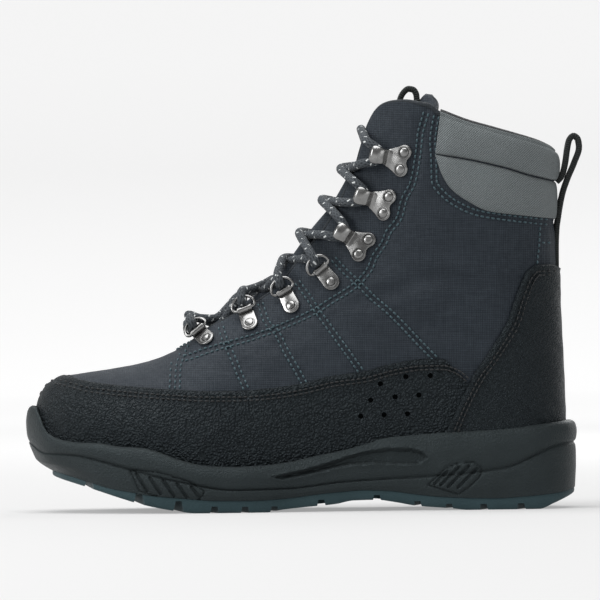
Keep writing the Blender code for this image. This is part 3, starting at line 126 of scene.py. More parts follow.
# Sections of the last, toe to collar. Each row is a plane that leans from a
# point on the front line to a point on the foot line or the back line.
# front_x, back_x: shares of SOLE_LENGTH from the toe.
# front_z, back_z: shares of SHAFT_HEIGHT. A back_z of None is on the foot bed.
# outer, inner, outer_foot, inner_foot, centre: shares of BALL_WIDTH.
# widest: share of the way from front to back. front_full, back_full: roundness.
SECTION_COLUMNS = ("front_x", "front_z", "back_x", "back_z", "outer", "inner",
                   "outer_foot", "inner_foot", "widest", "front_full", "back_full", "centre")
SECTIONS = (
    (0.022, 0.175, 0.0222, None, 0.001, 0.001, 0.001, 0.001, 0.90, 2.0, 2.0, 0.080),
    (0.021, 0.200, 0.0232, None, 0.046, 0.046, 0.043, 0.043, 0.90, 2.0, 2.0, 0.080),
    (0.022, 0.229, 0.0260, None, 0.088, 0.082, 0.084, 0.077, 0.88, 2.0, 2.0, 0.080),
    (0.026, 0.266, 0.0300, None, 0.142, 0.120, 0.134, 0.113, 0.84, 2.1, 2.0, 0.080),
    (0.033, 0.290, 0.0380, None, 0.190, 0.160, 0.180, 0.150, 0.80, 2.2, 2.0, 0.079),
    (0.043, 0.309, 0.0490, None, 0.235, 0.198, 0.224, 0.187, 0.78, 2.3, 2.0, 0.077),
    (0.058, 0.322, 0.0650, None, 0.283, 0.238, 0.271, 0.226, 0.76, 2.3, 2.0, 0.075),
    (0.079, 0.332, 0.0900, None, 0.337, 0.285, 0.324, 0.272, 0.74, 2.3, 2.0, 0.071),
    (0.119, 0.341, 0.1340, None, 0.394, 0.341, 0.380, 0.327, 0.72, 2.25, 2.0, 0.066),
    (0.177, 0.352, 0.1990, None, 0.446, 0.388, 0.430, 0.372, 0.70, 2.15, 2.0, 0.060),
    (0.239, 0.372, 0.2680, None, 0.478, 0.394, 0.460, 0.376, 0.70, 2.0, 2.0, 0.053),
    (0.290, 0.407, 0.3330, None, 0.478, 0.366, 0.458, 0.342, 0.72, 1.9, 2.0, 0.045),
    (0.333, 0.461, 0.4020, None, 0.452, 0.334, 0.428, 0.300, 0.72, 1.85, 2.0, 0.036),
    (0.375, 0.495, 0.4790, None, 0.418, 0.302, 0.388, 0.258, 0.71, 1.8, 2.0, 0.026),
    (0.419, 0.533, 0.5510, None, 0.388, 0.286, 0.358, 0.242, 0.70, 1.8, 2.0, 0.018),
    (0.451, 0.567, 0.6310, None, 0.366, 0.284, 0.326, 0.242, 0.66, 1.8, 2.1, 0.009),
    (0.482, 0.621, 0.7140, None, 0.350, 0.292, 0.308, 0.258, 0.62, 1.85, 2.2, 0.004),
    (0.508, 0.667, 0.8010, None, 0.340, 0.304, 0.300, 0.282, 0.58, 1.9, 2.3, 0.001),
    (0.527, 0.701, 0.8850, None, 0.334, 0.313, 0.280, 0.276, 0.56, 1.9, 2.4, 0.0),
    (0.542, 0.731, 0.9360, None, 0.330, 0.318, 0.226, 0.226, 0.55, 1.95, 2.4, 0.0),
    (0.553, 0.755, 0.9620, None, 0.328, 0.318, 0.130, 0.130, 0.54, 1.95, 2.4, 0.0),
    (0.562, 0.775, 0.9720, 0.152, 0.326, 0.318, 0.0, 0.0, 0.53, 2.0, 2.4, 0.0),
    (0.571, 0.794, 0.9710, 0.238, 0.325, 0.318, 0.0, 0.0, 0.52, 2.0, 2.35, 0.0),
    (0.580, 0.814, 0.9690, 0.337, 0.324, 0.318, 0.0, 0.0, 0.52, 2.0, 2.3, 0.0),
    (0.589, 0.833, 0.9660, 0.435, 0.323, 0.318, 0.0, 0.0, 0.52, 2.05, 2.25, 0.0),
    (0.596, 0.853, 0.9640, 0.521, 0.323, 0.318, 0.0, 0.0, 0.52, 2.05, 2.2, 0.0),
    (0.602, 0.875, 0.9640, 0.602, 0.323, 0.318, 0.0, 0.0, 0.52, 2.1, 2.2, 0.0),
    (0.608, 0.897, 0.9635, 0.681, 0.324, 0.319, 0.0, 0.0, 0.52, 2.1, 2.2, 0.0),
    (0.615, 0.924, 0.9620, 0.755, 0.325, 0.320, 0.0, 0.0, 0.52, 2.1, 2.2, 0.0),
    (0.622, 0.951, 0.9615, 0.816, 0.326, 0.321, 0.0, 0.0, 0.52, 2.1, 2.2, 0.0),
    (0.629, 0.985, 0.9620, 0.877, 0.327, 0.322, 0.0, 0.0, 0.52, 2.1, 2.2, 0.0),
    (0.635, 1.029, 0.9640, 0.946, 0.328, 0.323, 0.0, 0.0, 0.52, 2.1, 2.2, 0.0),
    (0.640, 1.066, 0.9680, 1.005, 0.329, 0.324, 0.0, 0.0, 0.52, 2.1, 2.2, 0.0),
)
CLOSED_BACK_ROW = 21
FIRST_ROW = 0.15
TOP_ROW = 30.2
RAND_TOP_ROW = 18.3
COUNTER_ROWS = (16.85, 25.8)
CUP_TOP_ROW = 26.0
LAST_ROW = len(SECTIONS) - 1

# Outline of the sole seen from above, toe to heel.
# at: share of SOLE_LENGTH. outer, inner: shares of BALL_WIDTH from the middle line.
OUTLINE = (
    (0.000, -0.090, 0.090), (0.004, 0.010, 0.180), (0.015, 0.090, 0.254), (0.040, 0.200, 0.345),
    (0.080, 0.304, 0.415), (0.140, 0.402, 0.473), (0.200, 0.460, 0.499), (0.260, 0.492, 0.496),
    (0.320, 0.500, 0.462), (0.380, 0.492, 0.422), (0.440, 0.464, 0.384), (0.520, 0.424, 0.352),
    (0.600, 0.394, 0.340), (0.700, 0.374, 0.346), (0.800, 0.364, 0.356), (0.880, 0.344, 0.344),
    (0.940, 0.295, 0.295), (0.975, 0.222, 0.222), (0.994, 0.120, 0.120), (1.000, 0.000, 0.000),
)

# Lines along the sole's side. at: share of SOLE_LENGTH, z: share of SHAFT_HEIGHT.
FOOT_BED = ((0.0, 0.175), (0.047, 0.162), (0.137, 0.128), (0.228, 0.103), (0.319, 0.085),
            (0.410, 0.081), (0.500, 0.090), (0.591, 0.107), (0.682, 0.124), (0.772, 0.137),
            (0.863, 0.145), (0.954, 0.150), (1.001, 0.150))
RIM = ((0.0, 0.264), (0.020, 0.259), (0.029, 0.239), (0.037, 0.214), (0.046, 0.196), (0.066, 0.183),
       (0.096, 0.175), (0.137, 0.172), (0.177, 0.163), (0.214, 0.160), (0.243, 0.150),
       (0.283, 0.130), (0.332, 0.115), (0.380, 0.112), (0.428, 0.114), (0.477, 0.122),
       (0.526, 0.136), (0.574, 0.149), (0.623, 0.168), (0.654, 0.181), (0.703, 0.187),
       (0.758, 0.192), (0.812, 0.196), (0.881, 0.200), (0.979, 0.214), (1.001, 0.216))
SIDE_GROOVE = ((0.0, 0.178), (0.011, 0.169), (0.026, 0.152), (0.040, 0.145), (0.066, 0.144),
               (0.096, 0.141), (0.131, 0.131), (0.196, 0.106), (0.283, 0.076), (0.380, 0.055),
               (0.477, 0.057), (0.574, 0.071), (0.633, 0.076), (0.720, 0.082), (0.860, 0.100),
               (0.979, 0.160), (1.001, 0.162))
SOLE_SEAM = ((0.0, 0.114), (0.029, 0.106), (0.054, 0.101), (0.085, 0.090), (0.122, 0.075),
             (0.159, 0.061), (0.196, 0.052), (0.234, 0.043), (0.283, 0.037), (0.348, 0.030),
             (0.411, 0.029), (0.477, 0.034), (0.526, 0.042), (0.574, 0.048), (0.607, 0.051),
             (0.655, 0.049), (0.703, 0.040), (0.761, 0.032), (0.847, 0.028), (0.917, 0.033),
             (0.962, 0.039), (0.997, 0.051))
GROUND = ((0.0, 0.107), (0.030, 0.098), (0.048, 0.090), (0.107, 0.067), (0.140, 0.053),
          (0.174, 0.038), (0.211, 0.023), (0.244, 0.013), (0.283, 0.004), (0.310, 0.0),
          (0.437, 0.0), (0.464, 0.006), (0.509, 0.012), (0.561, 0.018), (0.593, 0.026),
          (0.633, 0.027), (0.671, 0.020), (0.703, 0.012), (0.771, 0.004), (0.800, 0.0),
          (0.927, 0.0), (0.955, 0.014), (0.986, 0.032), (1.001, 0.041))
# How far the sole's foot edge lies inside its outline, as a share of BALL_WIDTH
SOLE_TUCK = ((0.0, 0.130), (0.02, 0.110), (0.06, 0.070), (0.12, 0.034), (0.22, 0.020),
             (0.85, 0.020), (0.96, 0.006), (1.0, 0.012))

# Lines across the upper seen from the side, with the same columns
TOP_EDGE = ((0.596, 0.862), (0.606, 0.888), (0.613, 0.907), (0.620, 0.925), (0.630, 0.953),
            (0.638, 0.972), (0.653, 0.989), (0.670, 0.995), (0.691, 0.996), (0.718, 0.990),
            (0.736, 0.984), (0.752, 0.966), (0.765, 0.959), (0.805, 0.938), (0.849, 0.921),
            (0.892, 0.905), (0.936, 0.888), (0.957, 0.876), (0.972, 0.862), (1.0, 0.840))
BAND_SEAM = ((0.600, 0.905), (0.750, 0.865), (0.803, 0.853), (0.870, 0.832), (0.921, 0.811),
             (0.966, 0.799), (1.0, 0.795))
BAND_FOOT = ((0.700, 0.890), (0.745, 0.866), (0.7515, 0.840), (0.757, 0.819), (0.773, 0.783),
             (0.804, 0.751), (0.840, 0.727), (0.887, 0.718), (0.965, 0.708), (1.0, 0.706))

# Outlines that cut the overlays, seen from the side, with the same columns
RAND_EDGE = ((-0.050, 0.340), (-0.008, 0.340), (0.063, 0.335), (0.123, 0.316), (0.199, 0.305),
             (0.268, 0.298), (0.337, 0.294), (0.402, 0.295), (0.447, 0.300), (0.500, 0.311),
             (0.556, 0.329), (0.611, 0.339), (0.667, 0.358), (0.722, 0.368), (0.756, 0.368),
             (0.790, 0.354), (0.811, 0.331))
COUNTER_EDGE = ((0.811, 0.331), (0.834, 0.374), (0.856, 0.420), (0.872, 0.456), (0.887, 0.520),
                (0.905, 0.577), (0.921, 0.595), (0.968, 0.597), (1.050, 0.597))
COUNTER_FRONT = ((0.811, 0.331), (0.763, 0.199), (0.753, 0.162))

# Vent holes through the rand, seen from the side
VENTS = ((0.643, 0.309), (0.689, 0.326), (0.733, 0.328), (0.625, 0.270), (0.669, 0.277),
         (0.712, 0.281), (0.607, 0.231), (0.649, 0.234), (0.691, 0.236))

# Heel loop and tongue loop, seen from the side: the middle line of the webbing
HEEL_LOOP = ((0.9680, 0.7990), (0.9757, 0.8100), (0.9800, 0.8240), (0.9840, 0.8480), (0.9875, 0.8800),
             (0.9915, 0.9020), (0.9990, 0.9120), (1.0070, 0.9030), (1.0090, 0.8840),
             (1.0000, 0.8460), (0.9872, 0.8060), (0.9780, 0.7700), (0.9725, 0.7350),
             (0.9695, 0.7100), (0.9668, 0.6850), (0.9652, 0.6400), (0.9650, 0.6000), (0.9650, 0.5800))
TONGUE_LOOP = ((0.6820, 0.9800), (0.6853, 1.0050), (0.6930, 1.0240), (0.7010, 1.0310), (0.7090, 1.0290),
               (0.7150, 1.0160), (0.7165, 0.9850))

# Fittings seen from the side: x and z of the rivet, then of the ring's bar or the hook's head
RINGS = ((0.332, 0.420, 0.310, 0.452), (0.410, 0.457, 0.401, 0.496),
         (0.486, 0.500, 0.473, 0.539), (0.558, 0.557, 0.537, 0.592))
HOOKS = ((0.617, 0.641, 0.586, 0.669), (0.659, 0.744, 0.623, 0.764),
         (0.689, 0.851, 0.651, 0.864))

# Recess and slashes in the midsole's side
SCALLOP = ((0.445, 0.087), (0.509, 0.105), (0.558, 0.124), (0.607, 0.144), (0.655, 0.153),
           (0.697, 0.152), (0.720, 0.142), (0.728, 0.129), (0.710, 0.111), (0.671, 0.112),
           (0.633, 0.115), (0.590, 0.111), (0.558, 0.103), (0.509, 0.088), (0.464, 0.078))
SCALLOP_DEPTH = 0.0028
# Slashes: at and z of the middle, length in metres, lean in degrees
SLASHES = ((0.214, 0.076, 0.0125, -58.0), (0.238, 0.068, 0.0125, -57.0), (0.262, 0.062, 0.0120, -56.0),
           (0.286, 0.056, 0.0105, -55.0), (0.310, 0.052, 0.0085, -54.0),
           (0.750, 0.079, 0.0110, 44.0), (0.766, 0.083, 0.0155, 44.0), (0.782, 0.082, 0.0175, 44.0),
           (0.798, 0.078, 0.0160, 44.0))
SLASH_WIDTH = 0.0011
SLASH_DEPTH = 0.0012

# Cross grooves between the lugs: share of SOLE_LENGTH, sweep in degrees
CROSS_GROOVES = ((0.098, 10.0), (0.170, 14.0), (0.232, 16.0), (0.296, 16.0),
                 (0.358, 14.0), (0.424, 10.0), (0.535, 0.0), (0.635, 0.0), (0.725, -8.0),
                 (0.790, -12.0), (0.856, -14.0), (0.922, -14.0))

# Seams and stitch rows, seen from the side: x and z in millimetres
QUILT_LINES = (
    ((-48.5, 109.5), (-45.0, 98.0), (-40.4, 87.8), (-35.6, 76.0), (-32.9, 69.7)),
    ((-25.0, 119.9), (-20.3, 106.9), (-16.3, 103.4), (-10.3, 91.6), (-3.9, 80.4), (0.4, 72.2)),
    ((-3.9, 131.5), (2.6, 122.6), (7.9, 114.3), (14.0, 105.7), (21.6, 95.0), (27.4, 86.8), (32.6, 79.3)),
    ((16.9, 144.4), (24.5, 136.1), (31.6, 129.6), (39.2, 121.8), (49.2, 113.0), (56.8, 105.3),
     (64.4, 97.0), (75.2, 85.8)),
)
EYESTAY_ROW = ((71.2, 227.1), (69.4, 221.3), (67.6, 215.1), (66.5, 205.2), (65.4, 197.9), (62.7, 185.8),
               (58.1, 177.7), (55.0, 166.4), (48.8, 158.7), (46.7, 153.1), (40.1, 143.4), (39.2, 140.1),
               (30.9, 129.6), (24.6, 125.0), (15.7, 119.8), (7.5, 114.6), (-9.2, 106.9), (-18.0, 103.4),
               (-35.6, 97.7), (-44.4, 95.5), (-57.3, 91.5), (-69.0, 87.5))
COLLAR_ROW = ((77.1, 225.2), (75.6, 218.1), (74.6, 210.3), (74.9, 203.7), (75.2, 195.9), (75.2, 187.6),
              (80.3, 180.1), (89.0, 173.7), (99.6, 169.2), (115.4, 166.5), (131.5, 164.6), (144.2, 163.5))
VAMP_ROW = ((-66.1, 99.9), (-70.9, 91.3), (-73.2, 82.1), (-73.8, 70.1))
BACK_ROW = ((135.7, 161.5), (134.4, 150.8), (133.1, 139.1))
BACK_BAR_ROW = ((135.5, 151.9), (145.3, 151.8))

# Stitches
STITCH_PITCH = 0.0031
STITCH_LENGTH = 0.0023
STITCH_WIDTH = 0.00115
DOUBLE_ROW = 0.0029
STITCH_LIFT = 0.05 * MM
OVERLAY_STITCH_WIDTH = 0.0008
OVERLAY_STITCH_ROWS = (3.9 * MM, 6.0 * MM)


# Curves through a table's rows
def smooth_curve(xs, ys):
    """A curve through the points that never overshoots them."""
    xs = np.asarray(xs, float)
    ys = np.asarray(ys, float)
    steps = np.diff(xs)
    slopes = np.diff(ys) / steps
    tangents = np.zeros(len(xs))
    tangents[0] = slopes[0]
    tangents[-1] = slopes[-1]
    for i in range(1, len(xs) - 1):
        before, after = slopes[i - 1], slopes[i]
        if before * after > 0.0:
            w1 = 2.0 * steps[i] + steps[i - 1]
            w2 = steps[i] + 2.0 * steps[i - 1]
            tangents[i] = (w1 + w2) / (w1 / before + w2 / after)

    def value(x):
        x = np.clip(np.asarray(x, float), xs[0], xs[-1])
        i = np.clip(np.searchsorted(xs, x, side="right") - 1, 0, len(xs) - 2)
        h = steps[i]
        t = (x - xs[i]) / h
        return ((2 * t**3 - 3 * t**2 + 1) * ys[i] + (t**3 - 2 * t**2 + t) * h * tangents[i]
                + (3 * t**2 - 2 * t**3) * ys[i + 1] + (t**3 - t**2) * h * tangents[i + 1])

    return value


def x_at(share):
    """x in metres of a share of the sole's length from the toe."""
    return np.asarray(share) * SOLE_LENGTH - BOOT_LENGTH / 2.0


def share_at(x):
    return (np.asarray(x) + BOOT_LENGTH / 2.0) / SOLE_LENGTH


def height_line(table):
    """Height in metres along x in metres, from a table of shares."""
    curve = smooth_curve(*zip(*table))
    return lambda x: curve(share_at(x)) * SHAFT_HEIGHT


def side_points(table):
    """x and z in metres of a table of shares."""
    return np.array([(float(x_at(at)), z * SHAFT_HEIGHT) for at, z in table])


foot_bed = height_line(FOOT_BED)
rim_line = height_line(RIM)
groove_line = height_line(SIDE_GROOVE)
seam_line = height_line(SOLE_SEAM)
ground_line = height_line(GROUND)
top_edge_line = height_line(TOP_EDGE)
band_seam_line = height_line(BAND_SEAM)
band_foot_line = height_line(BAND_FOOT)
rand_edge_line = height_line(RAND_EDGE + ((0.860, 0.300), (1.0, 0.28)))
tuck_curve = smooth_curve(*zip(*SOLE_TUCK))


# The form of the last
def section_curves():
    """A smooth curve over the row number for each column of the sections."""
    columns = {}
    for k, name in enumerate(SECTION_COLUMNS):
        values = []
        for row in SECTIONS:
            value = row[k]
            if value is None:
                bed = foot_bed(x_at(row[SECTION_COLUMNS.index("back_x")]))
                value = float(bed + GAP) / SHAFT_HEIGHT
            values.append(value)
        columns[name] = smooth_curve(range(len(SECTIONS)), values)
    return columns


LAST = section_curves()


def section_at(row, side):
    """Half width, roundness at the back, and where the foot line cuts the section."""
    names = ("outer", "outer_foot") if side < 0 else ("inner", "inner_foot")
    wide = LAST[names[0]](row) * BALL_WIDTH
    foot = np.minimum(LAST[names[1]](row) * BALL_WIDTH, wide * 0.999)
    full = LAST["back_full"](row)
    cut = (1.0 - (foot / wide) ** full) ** (1.0 / full)
    return wide, full, cut


def front_and_back(row):
    """x and z of a section's front point and of its foot or back point."""
    front = np.stack([x_at(LAST["front_x"](row)), LAST["front_z"](row) * SHAFT_HEIGHT], axis=-1)
    back = np.stack([x_at(LAST["back_x"](row)), LAST["back_z"](row) * SHAFT_HEIGHT], axis=-1)
    return front, back


def form_point(row, turn, side):
    """A point of the last: turn 0 is the front line, 1 the foot or back line."""
    row, turn = np.broadcast_arrays(np.asarray(row, float), np.asarray(turn, float))
    wide, full, cut = section_at(row, side)
    widest = LAST["widest"](row)
    front_full = LAST["front_full"](row)
    angle = np.clip(turn, 0.0, 0.5) * math.pi
    share_front = widest * (1.0 - np.abs(np.cos(angle)) ** (2.0 / front_full))
    y_front = wide * np.abs(np.sin(angle)) ** (2.0 / front_full)
    last_angle = np.arcsin(np.clip(cut ** (full / 2.0), 0.0, 1.0))
    swing = np.clip(turn * 2.0 - 1.0, 0.0, 1.0) * last_angle
    share_back = widest + (1.0 - widest) * np.sin(swing) ** (2.0 / full) / cut
    y_back = wide * np.abs(np.cos(swing)) ** (2.0 / full)
    share = np.where(turn < 0.5, share_front, share_back)
    y = np.where(turn < 0.5, y_front, y_back)
    front, back = front_and_back(row)
    place = front + (back - front) * share[..., None]
    return np.stack([place[..., 0], LAST["centre"](row) * BALL_WIDTH + side * y, place[..., 1]], axis=-1)


def form_normal(row, turn, side):
    """The form's outward direction at a row and turn."""
    row, turn = np.broadcast_arrays(np.asarray(row, float), np.asarray(turn, float))
    row = np.clip(row, 0.25, LAST_ROW)
    step = 0.02
    inside = np.clip(turn, step, 1.0 - step)
    along = (form_point(np.minimum(row + 0.1, LAST_ROW), inside, side)
             - form_point(np.maximum(row - 0.1, 0.0), inside, side))
    up = form_point(row, np.clip(turn + step, 0.0, 1.0), side)
    down = form_point(row, np.clip(turn - step, 0.0, 1.0), side)
    closed = row > CLOSED_BACK_ROW - 0.5
    across = np.where((turn < step)[..., None], up - form_point(row, step, -side), up - down)
    at_back = (turn > 1.0 - step) & closed
    across = np.where(at_back[..., None], form_point(row, 1.0 - step, -side) - down, across)
    normal = unit(np.cross(along, across) * side)
    flat = (turn < 0.5 * step) | ((turn > 1.0 - 0.5 * step) & closed)
    normal[..., 1] = np.where(flat, 0.0, normal[..., 1])
    return normal


def lifted_point(row, turn, side, lift):
    return form_point(row, turn, side) + form_normal(row, turn, side) * np.asarray(lift, float)[..., None]


def halved(low, high, is_low, steps):
    """Closes in from both ends on the value where is_low turns false."""
    for _ in range(steps):
        middle = (low + high) / 2.0
        test = is_low(middle)
        low = np.where(test, middle, low)
        high = np.where(test, high, middle)
    return low, high


def row_on_line(turn, side, line):
    """The row whose point at each turn lies on a height line near the collar."""
    def below(row):
        point = form_point(row, turn, side)
        return point[..., 2] < line(point[..., 0])

    low, high = halved(np.full(np.shape(turn), 20.0), np.full(np.shape(turn), float(LAST_ROW)), below, 40)
    return (low + high) / 2.0


def turn_for_half_gap(row, side, half_gap):
    """The turn that stands a given distance from the middle."""
    wide, _, _ = section_at(row, side)
    share = np.clip(half_gap / wide, 0.0, 0.999)
    return np.arcsin(share ** (LAST["front_full"](row) / 2.0)) / math.pi


def find_on_form(x, z, side):
    """The rows and turns that stand at x and z, seen from the side."""
    x, z = np.broadcast_arrays(np.asarray(x, float), np.asarray(z, float))

    def side_of(row):
        front, back = front_and_back(row)
        span = back - front
        offset = np.stack([x, z], axis=-1) - front
        beyond = span[..., 0] * offset[..., 1] - span[..., 1] * offset[..., 0]
        return beyond, (offset * span).sum(axis=-1) / (span * span).sum(axis=-1)

    first, last = np.full(x.shape, 0.5), np.full(x.shape, float(LAST_ROW))
    low, high = halved(first, last, lambda row: side_of(row)[0] > 0.0, 45)
    row = (low + high) / 2.0
    share = side_of(row)[1]
    widest, front_full = LAST["widest"](row), LAST["front_full"](row)
    _, full, cut = section_at(row, side)
    turn_front = np.arccos(np.clip(1.0 - share / widest, 0.0, 1.0) ** (front_full / 2.0)) / math.pi
    last_angle = np.arcsin(np.clip(cut ** (full / 2.0), 0.0, 1.0))
    reach = np.clip((share - widest) / (1.0 - widest) * cut, 0.0, 1.0)
    turn_back = 0.5 + 0.5 * np.arcsin(reach ** (full / 2.0)) / np.maximum(last_angle, 1e-9)
    return row, np.where(share < widest, turn_front, np.clip(turn_back, 0.5, 1.0))


# Directions, steps and profiles
def unit(vectors):
    """The same directions with length 1."""
    return vectors / np.maximum(np.linalg.norm(vectors, axis=-1, keepdims=True), 1e-12)


def length_along(path):
    """The distance from a path's start to each of its points."""
    return np.concatenate([[0.0], np.cumsum(np.linalg.norm(np.diff(path, axis=0), axis=1))])


def points_at(places, path):
    """Points at the given distances along a path."""
    along = length_along(path)
    return np.stack([np.interp(places, along, path[:, k]) for k in range(path.shape[1])], axis=1)


def circle_angles(count):
    return np.linspace(0.0, 2.0 * math.pi, count, endpoint=False)


def bell(away, width):
    """1 on a line, falling to nothing past its width."""
    return np.exp(-(away / width) ** 2)


def squared_off(values, power):
    """Sines or cosines pushed outward, so that a circle turns into a rounded box."""
    return np.sign(values) * np.abs(values) ** power


# Distances in the side view, for seams and edges
def distance_to_line(points, line):
    """Distance in metres from each x and z to a line of corners."""
    points = np.asarray(points, float)
    best = np.full(points.shape[:-1], 1.0)
    for start, end in zip(line[:-1], line[1:]):
        span = end - start
        t = np.clip(((points - start) @ span) / (span @ span), 0.0, 1.0)
        best = np.minimum(best, np.linalg.norm(points - start - t[..., None] * span, axis=-1))
    return best


def inside_outline(points, outline):
    """Which places lie inside a closed outline, by counting the edges on one side of them."""
    inside = np.zeros(points.shape[:-1], bool)
    x, z = points[..., 0], points[..., 1]
    for (x1, z1), (x2, z2) in zip(outline, np.roll(outline, -1, axis=0)):
        if z1 == z2:
            continue
        crosses = (z1 > z) != (z2 > z)
        inside ^= crosses & (x < (x2 - x1) * (z - z1) / (z2 - z1) + x1)
    return inside


def soft_step(value, low, high):
    t = np.clip((value - low) / (high - low), 0.0, 1.0)
    return t * t * (3.0 - 2.0 * t)


def even_line(line, pitch):
    """A smooth line through corners, cut into steps of one pitch."""
    line = np.asarray(line, float)
    along = length_along(line)
    curves = [smooth_curve(along, line[:, k]) for k in range(line.shape[1])]
    count = max(2, int(round(along[-1] / pitch)) + 1)
    places = np.linspace(0.0, along[-1], count)
    return np.stack([curve(places) for curve in curves], axis=1)


def shifted_line(line, away):
    """The same line moved sideways in the side view."""
    tangent = unit(np.gradient(line, axis=0))
    return line + np.stack([-tangent[:, 1], tangent[:, 0]], axis=1) * away


def in_metres(line):
    return np.array(line, float) * MM


# Meshes
def linked(name, data):
    """A new object in the scene."""
    item = bpy.data.objects.new(name, data)
    bpy.context.scene.collection.objects.link(item)
    return item


def mesh_of(name, work):
    """The mesh that a work mesh holds. The work mesh is freed."""
    mesh = bpy.data.meshes.new(name)
    work.to_mesh(mesh)
    work.free()
    return mesh


def object_of(name, points, faces, look, coordinates=None):
    """coordinates holds two numbers for each point, kept as a texture map."""
    mesh = bpy.data.meshes.new(name)
    mesh.from_pydata(np.asarray(points, float).tolist(), [], [tuple(face) for face in faces])
    if coordinates is not None:
        layer = mesh.uv_layers.new(name="lay")
        corners = np.empty(len(mesh.loops), np.int32)
        mesh.loops.foreach_get("vertex_index", corners)
        layer.data.foreach_set("uv", np.asarray(coordinates, np.float32)[corners].ravel())
    mesh.materials.append(look)
    mesh.shade_smooth()
    made = linked(name, mesh)
    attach(made, "root")
    return made


def shade_by_angle(mesh, degrees):
    """Smooth faces, with sharp edges past an angle."""
    mesh.shade_smooth()
    mesh.set_sharp_from_angle(angle=math.radians(degrees))


def face_outward(item):
    work = bmesh.new()
    work.from_mesh(item.data)
    bmesh.ops.recalc_face_normals(work, faces=work.faces)
    if work.calc_volume(signed=True) < 0.0:
        bmesh.ops.reverse_faces(work, faces=work.faces)
    work.to_mesh(item.data)
    work.free()


def grid_faces(rows, columns, wrap=False, start=0):
    numbers = start + np.arange(rows * columns).reshape(rows, columns)
    if wrap:
        numbers = np.concatenate([numbers, numbers[:, :1]], axis=1)
    return np.stack([numbers[:-1, :-1], numbers[:-1, 1:], numbers[1:, 1:], numbers[1:, :-1]],
                    axis=-1).reshape(-1, 4)


def tube_faces(count, sides):
    """Faces round a row of rings, with a cap at each end."""
    faces = grid_faces(count, sides, wrap=True).tolist()
    return faces + [list(range(sides))[::-1], list(range((count - 1) * sides, count * sides))]


def ringed_object(name, points, look, coordinates=None):
    """A closed solid through rings of points."""
    item = object_of(name, points.reshape(-1, 3), tube_faces(*points.shape[:2]), look, coordinates)
    face_outward(item)
    return item


def all_points(grids):
    return np.concatenate([grid.reshape(-1, 3) for grid in grids])


def welded_sheet(grids):
    """Joins grids whose edges meet. Returns which points are kept, and the faces."""
    faces = []
    start = 0
    for k, grid in enumerate(grids):
        part = grid_faces(grid.shape[0], grid.shape[1], start=start)
        faces.append(part if k == 0 else part[:, ::-1])
        start += grid.shape[0] * grid.shape[1]
    faces = np.concatenate(faces)
    _, first, back = np.unique(np.round(all_points(grids), 6), axis=0, return_index=True, return_inverse=True)
    faces = back.reshape(-1)[faces]
    kept = []
    for face in faces.tolist():
        face = list(dict.fromkeys(face))
        if len(face) > 2:
            kept.append(face)
    return first, kept


def shell_object(name, near, far, look):
    """A wall between two sheets that are given as matching grids for each side."""
    first, faces = welded_sheet(near)
    count = len(first)
    points = [all_points(sheet)[first] for sheet in (near, far)]
    edges = dict.fromkeys(edge for face in faces for edge in zip(face, face[1:] + face[:1]))
    rim = [(a, b) for a, b in edges if (b, a) not in edges]
    every = list(faces)
    every += [[k + count for k in reversed(face)] for face in faces]
    every += [[b, a, a + count, b + count] for a, b in rim]
    item = object_of(name, np.concatenate(points), every, look)
    face_outward(item)
    shade_by_angle(item.data, 50.0)
    return item


def rings_round(tangent, angle):
    """Circles of radius 1 round a path, from its directions."""
    normals = turning_frames(tangent)
    across = np.cross(tangent, normals)
    return (np.cos(angle)[None, :, None] * across[:, None, :]
            + np.sin(angle)[None, :, None] * normals[:, None, :])


def tube_object(name, path, radius, look, sides):
    """A round cord along a path, with its ends closed."""
    path = np.asarray(path, float)
    rings = rings_round(unit(np.gradient(path, axis=0)), circle_angles(sides))
    return ringed_object(name, path[:, None, :] + rings * radius, look)


def hoop_mesh(name, path, radius, look, sides):
    """A round wire along a path that closes in itself."""
    path = np.asarray(path, float)
    tangent = unit(np.roll(path, -1, axis=0) - np.roll(path, 1, axis=0))
    points = path[:, None, :] + rings_round(tangent, circle_angles(sides)) * radius
    faces = grid_faces(len(path), sides, wrap=True).tolist()
    last = (len(path) - 1) * sides
    faces += [[last + k, last + (k + 1) % sides, (k + 1) % sides, k] for k in range(sides)]
    item = object_of(name, points.reshape(-1, 3), faces, look)
    face_outward(item)
    mesh = item.data.copy()
    bpy.data.objects.remove(item, do_unlink=True)
    return mesh


def turning_frames(tangents):
    """Normals carried along a path with no twist."""
    normal = np.cross(tangents[0], (0.0, 1.0, 0.0))
    if np.linalg.norm(normal) < 0.2:
        normal = np.cross(tangents[0], (0.0, 0.0, 1.0))
    normals = []
    for tangent in tangents:
        normal = unit(normal - tangent * (normal @ tangent))
        normals.append(normal)
    return np.array(normals)


def joined(name, items):
    """Objects joined into one piece, which keeps their materials."""
    bpy.ops.object.select_all(action="DESELECT")
    for item in items:
        item.select_set(True)
    bpy.context.view_layer.objects.active = items[0]
    bpy.ops.object.join()
    items[0].name = name
    items[0].data.name = name
    return items[0]


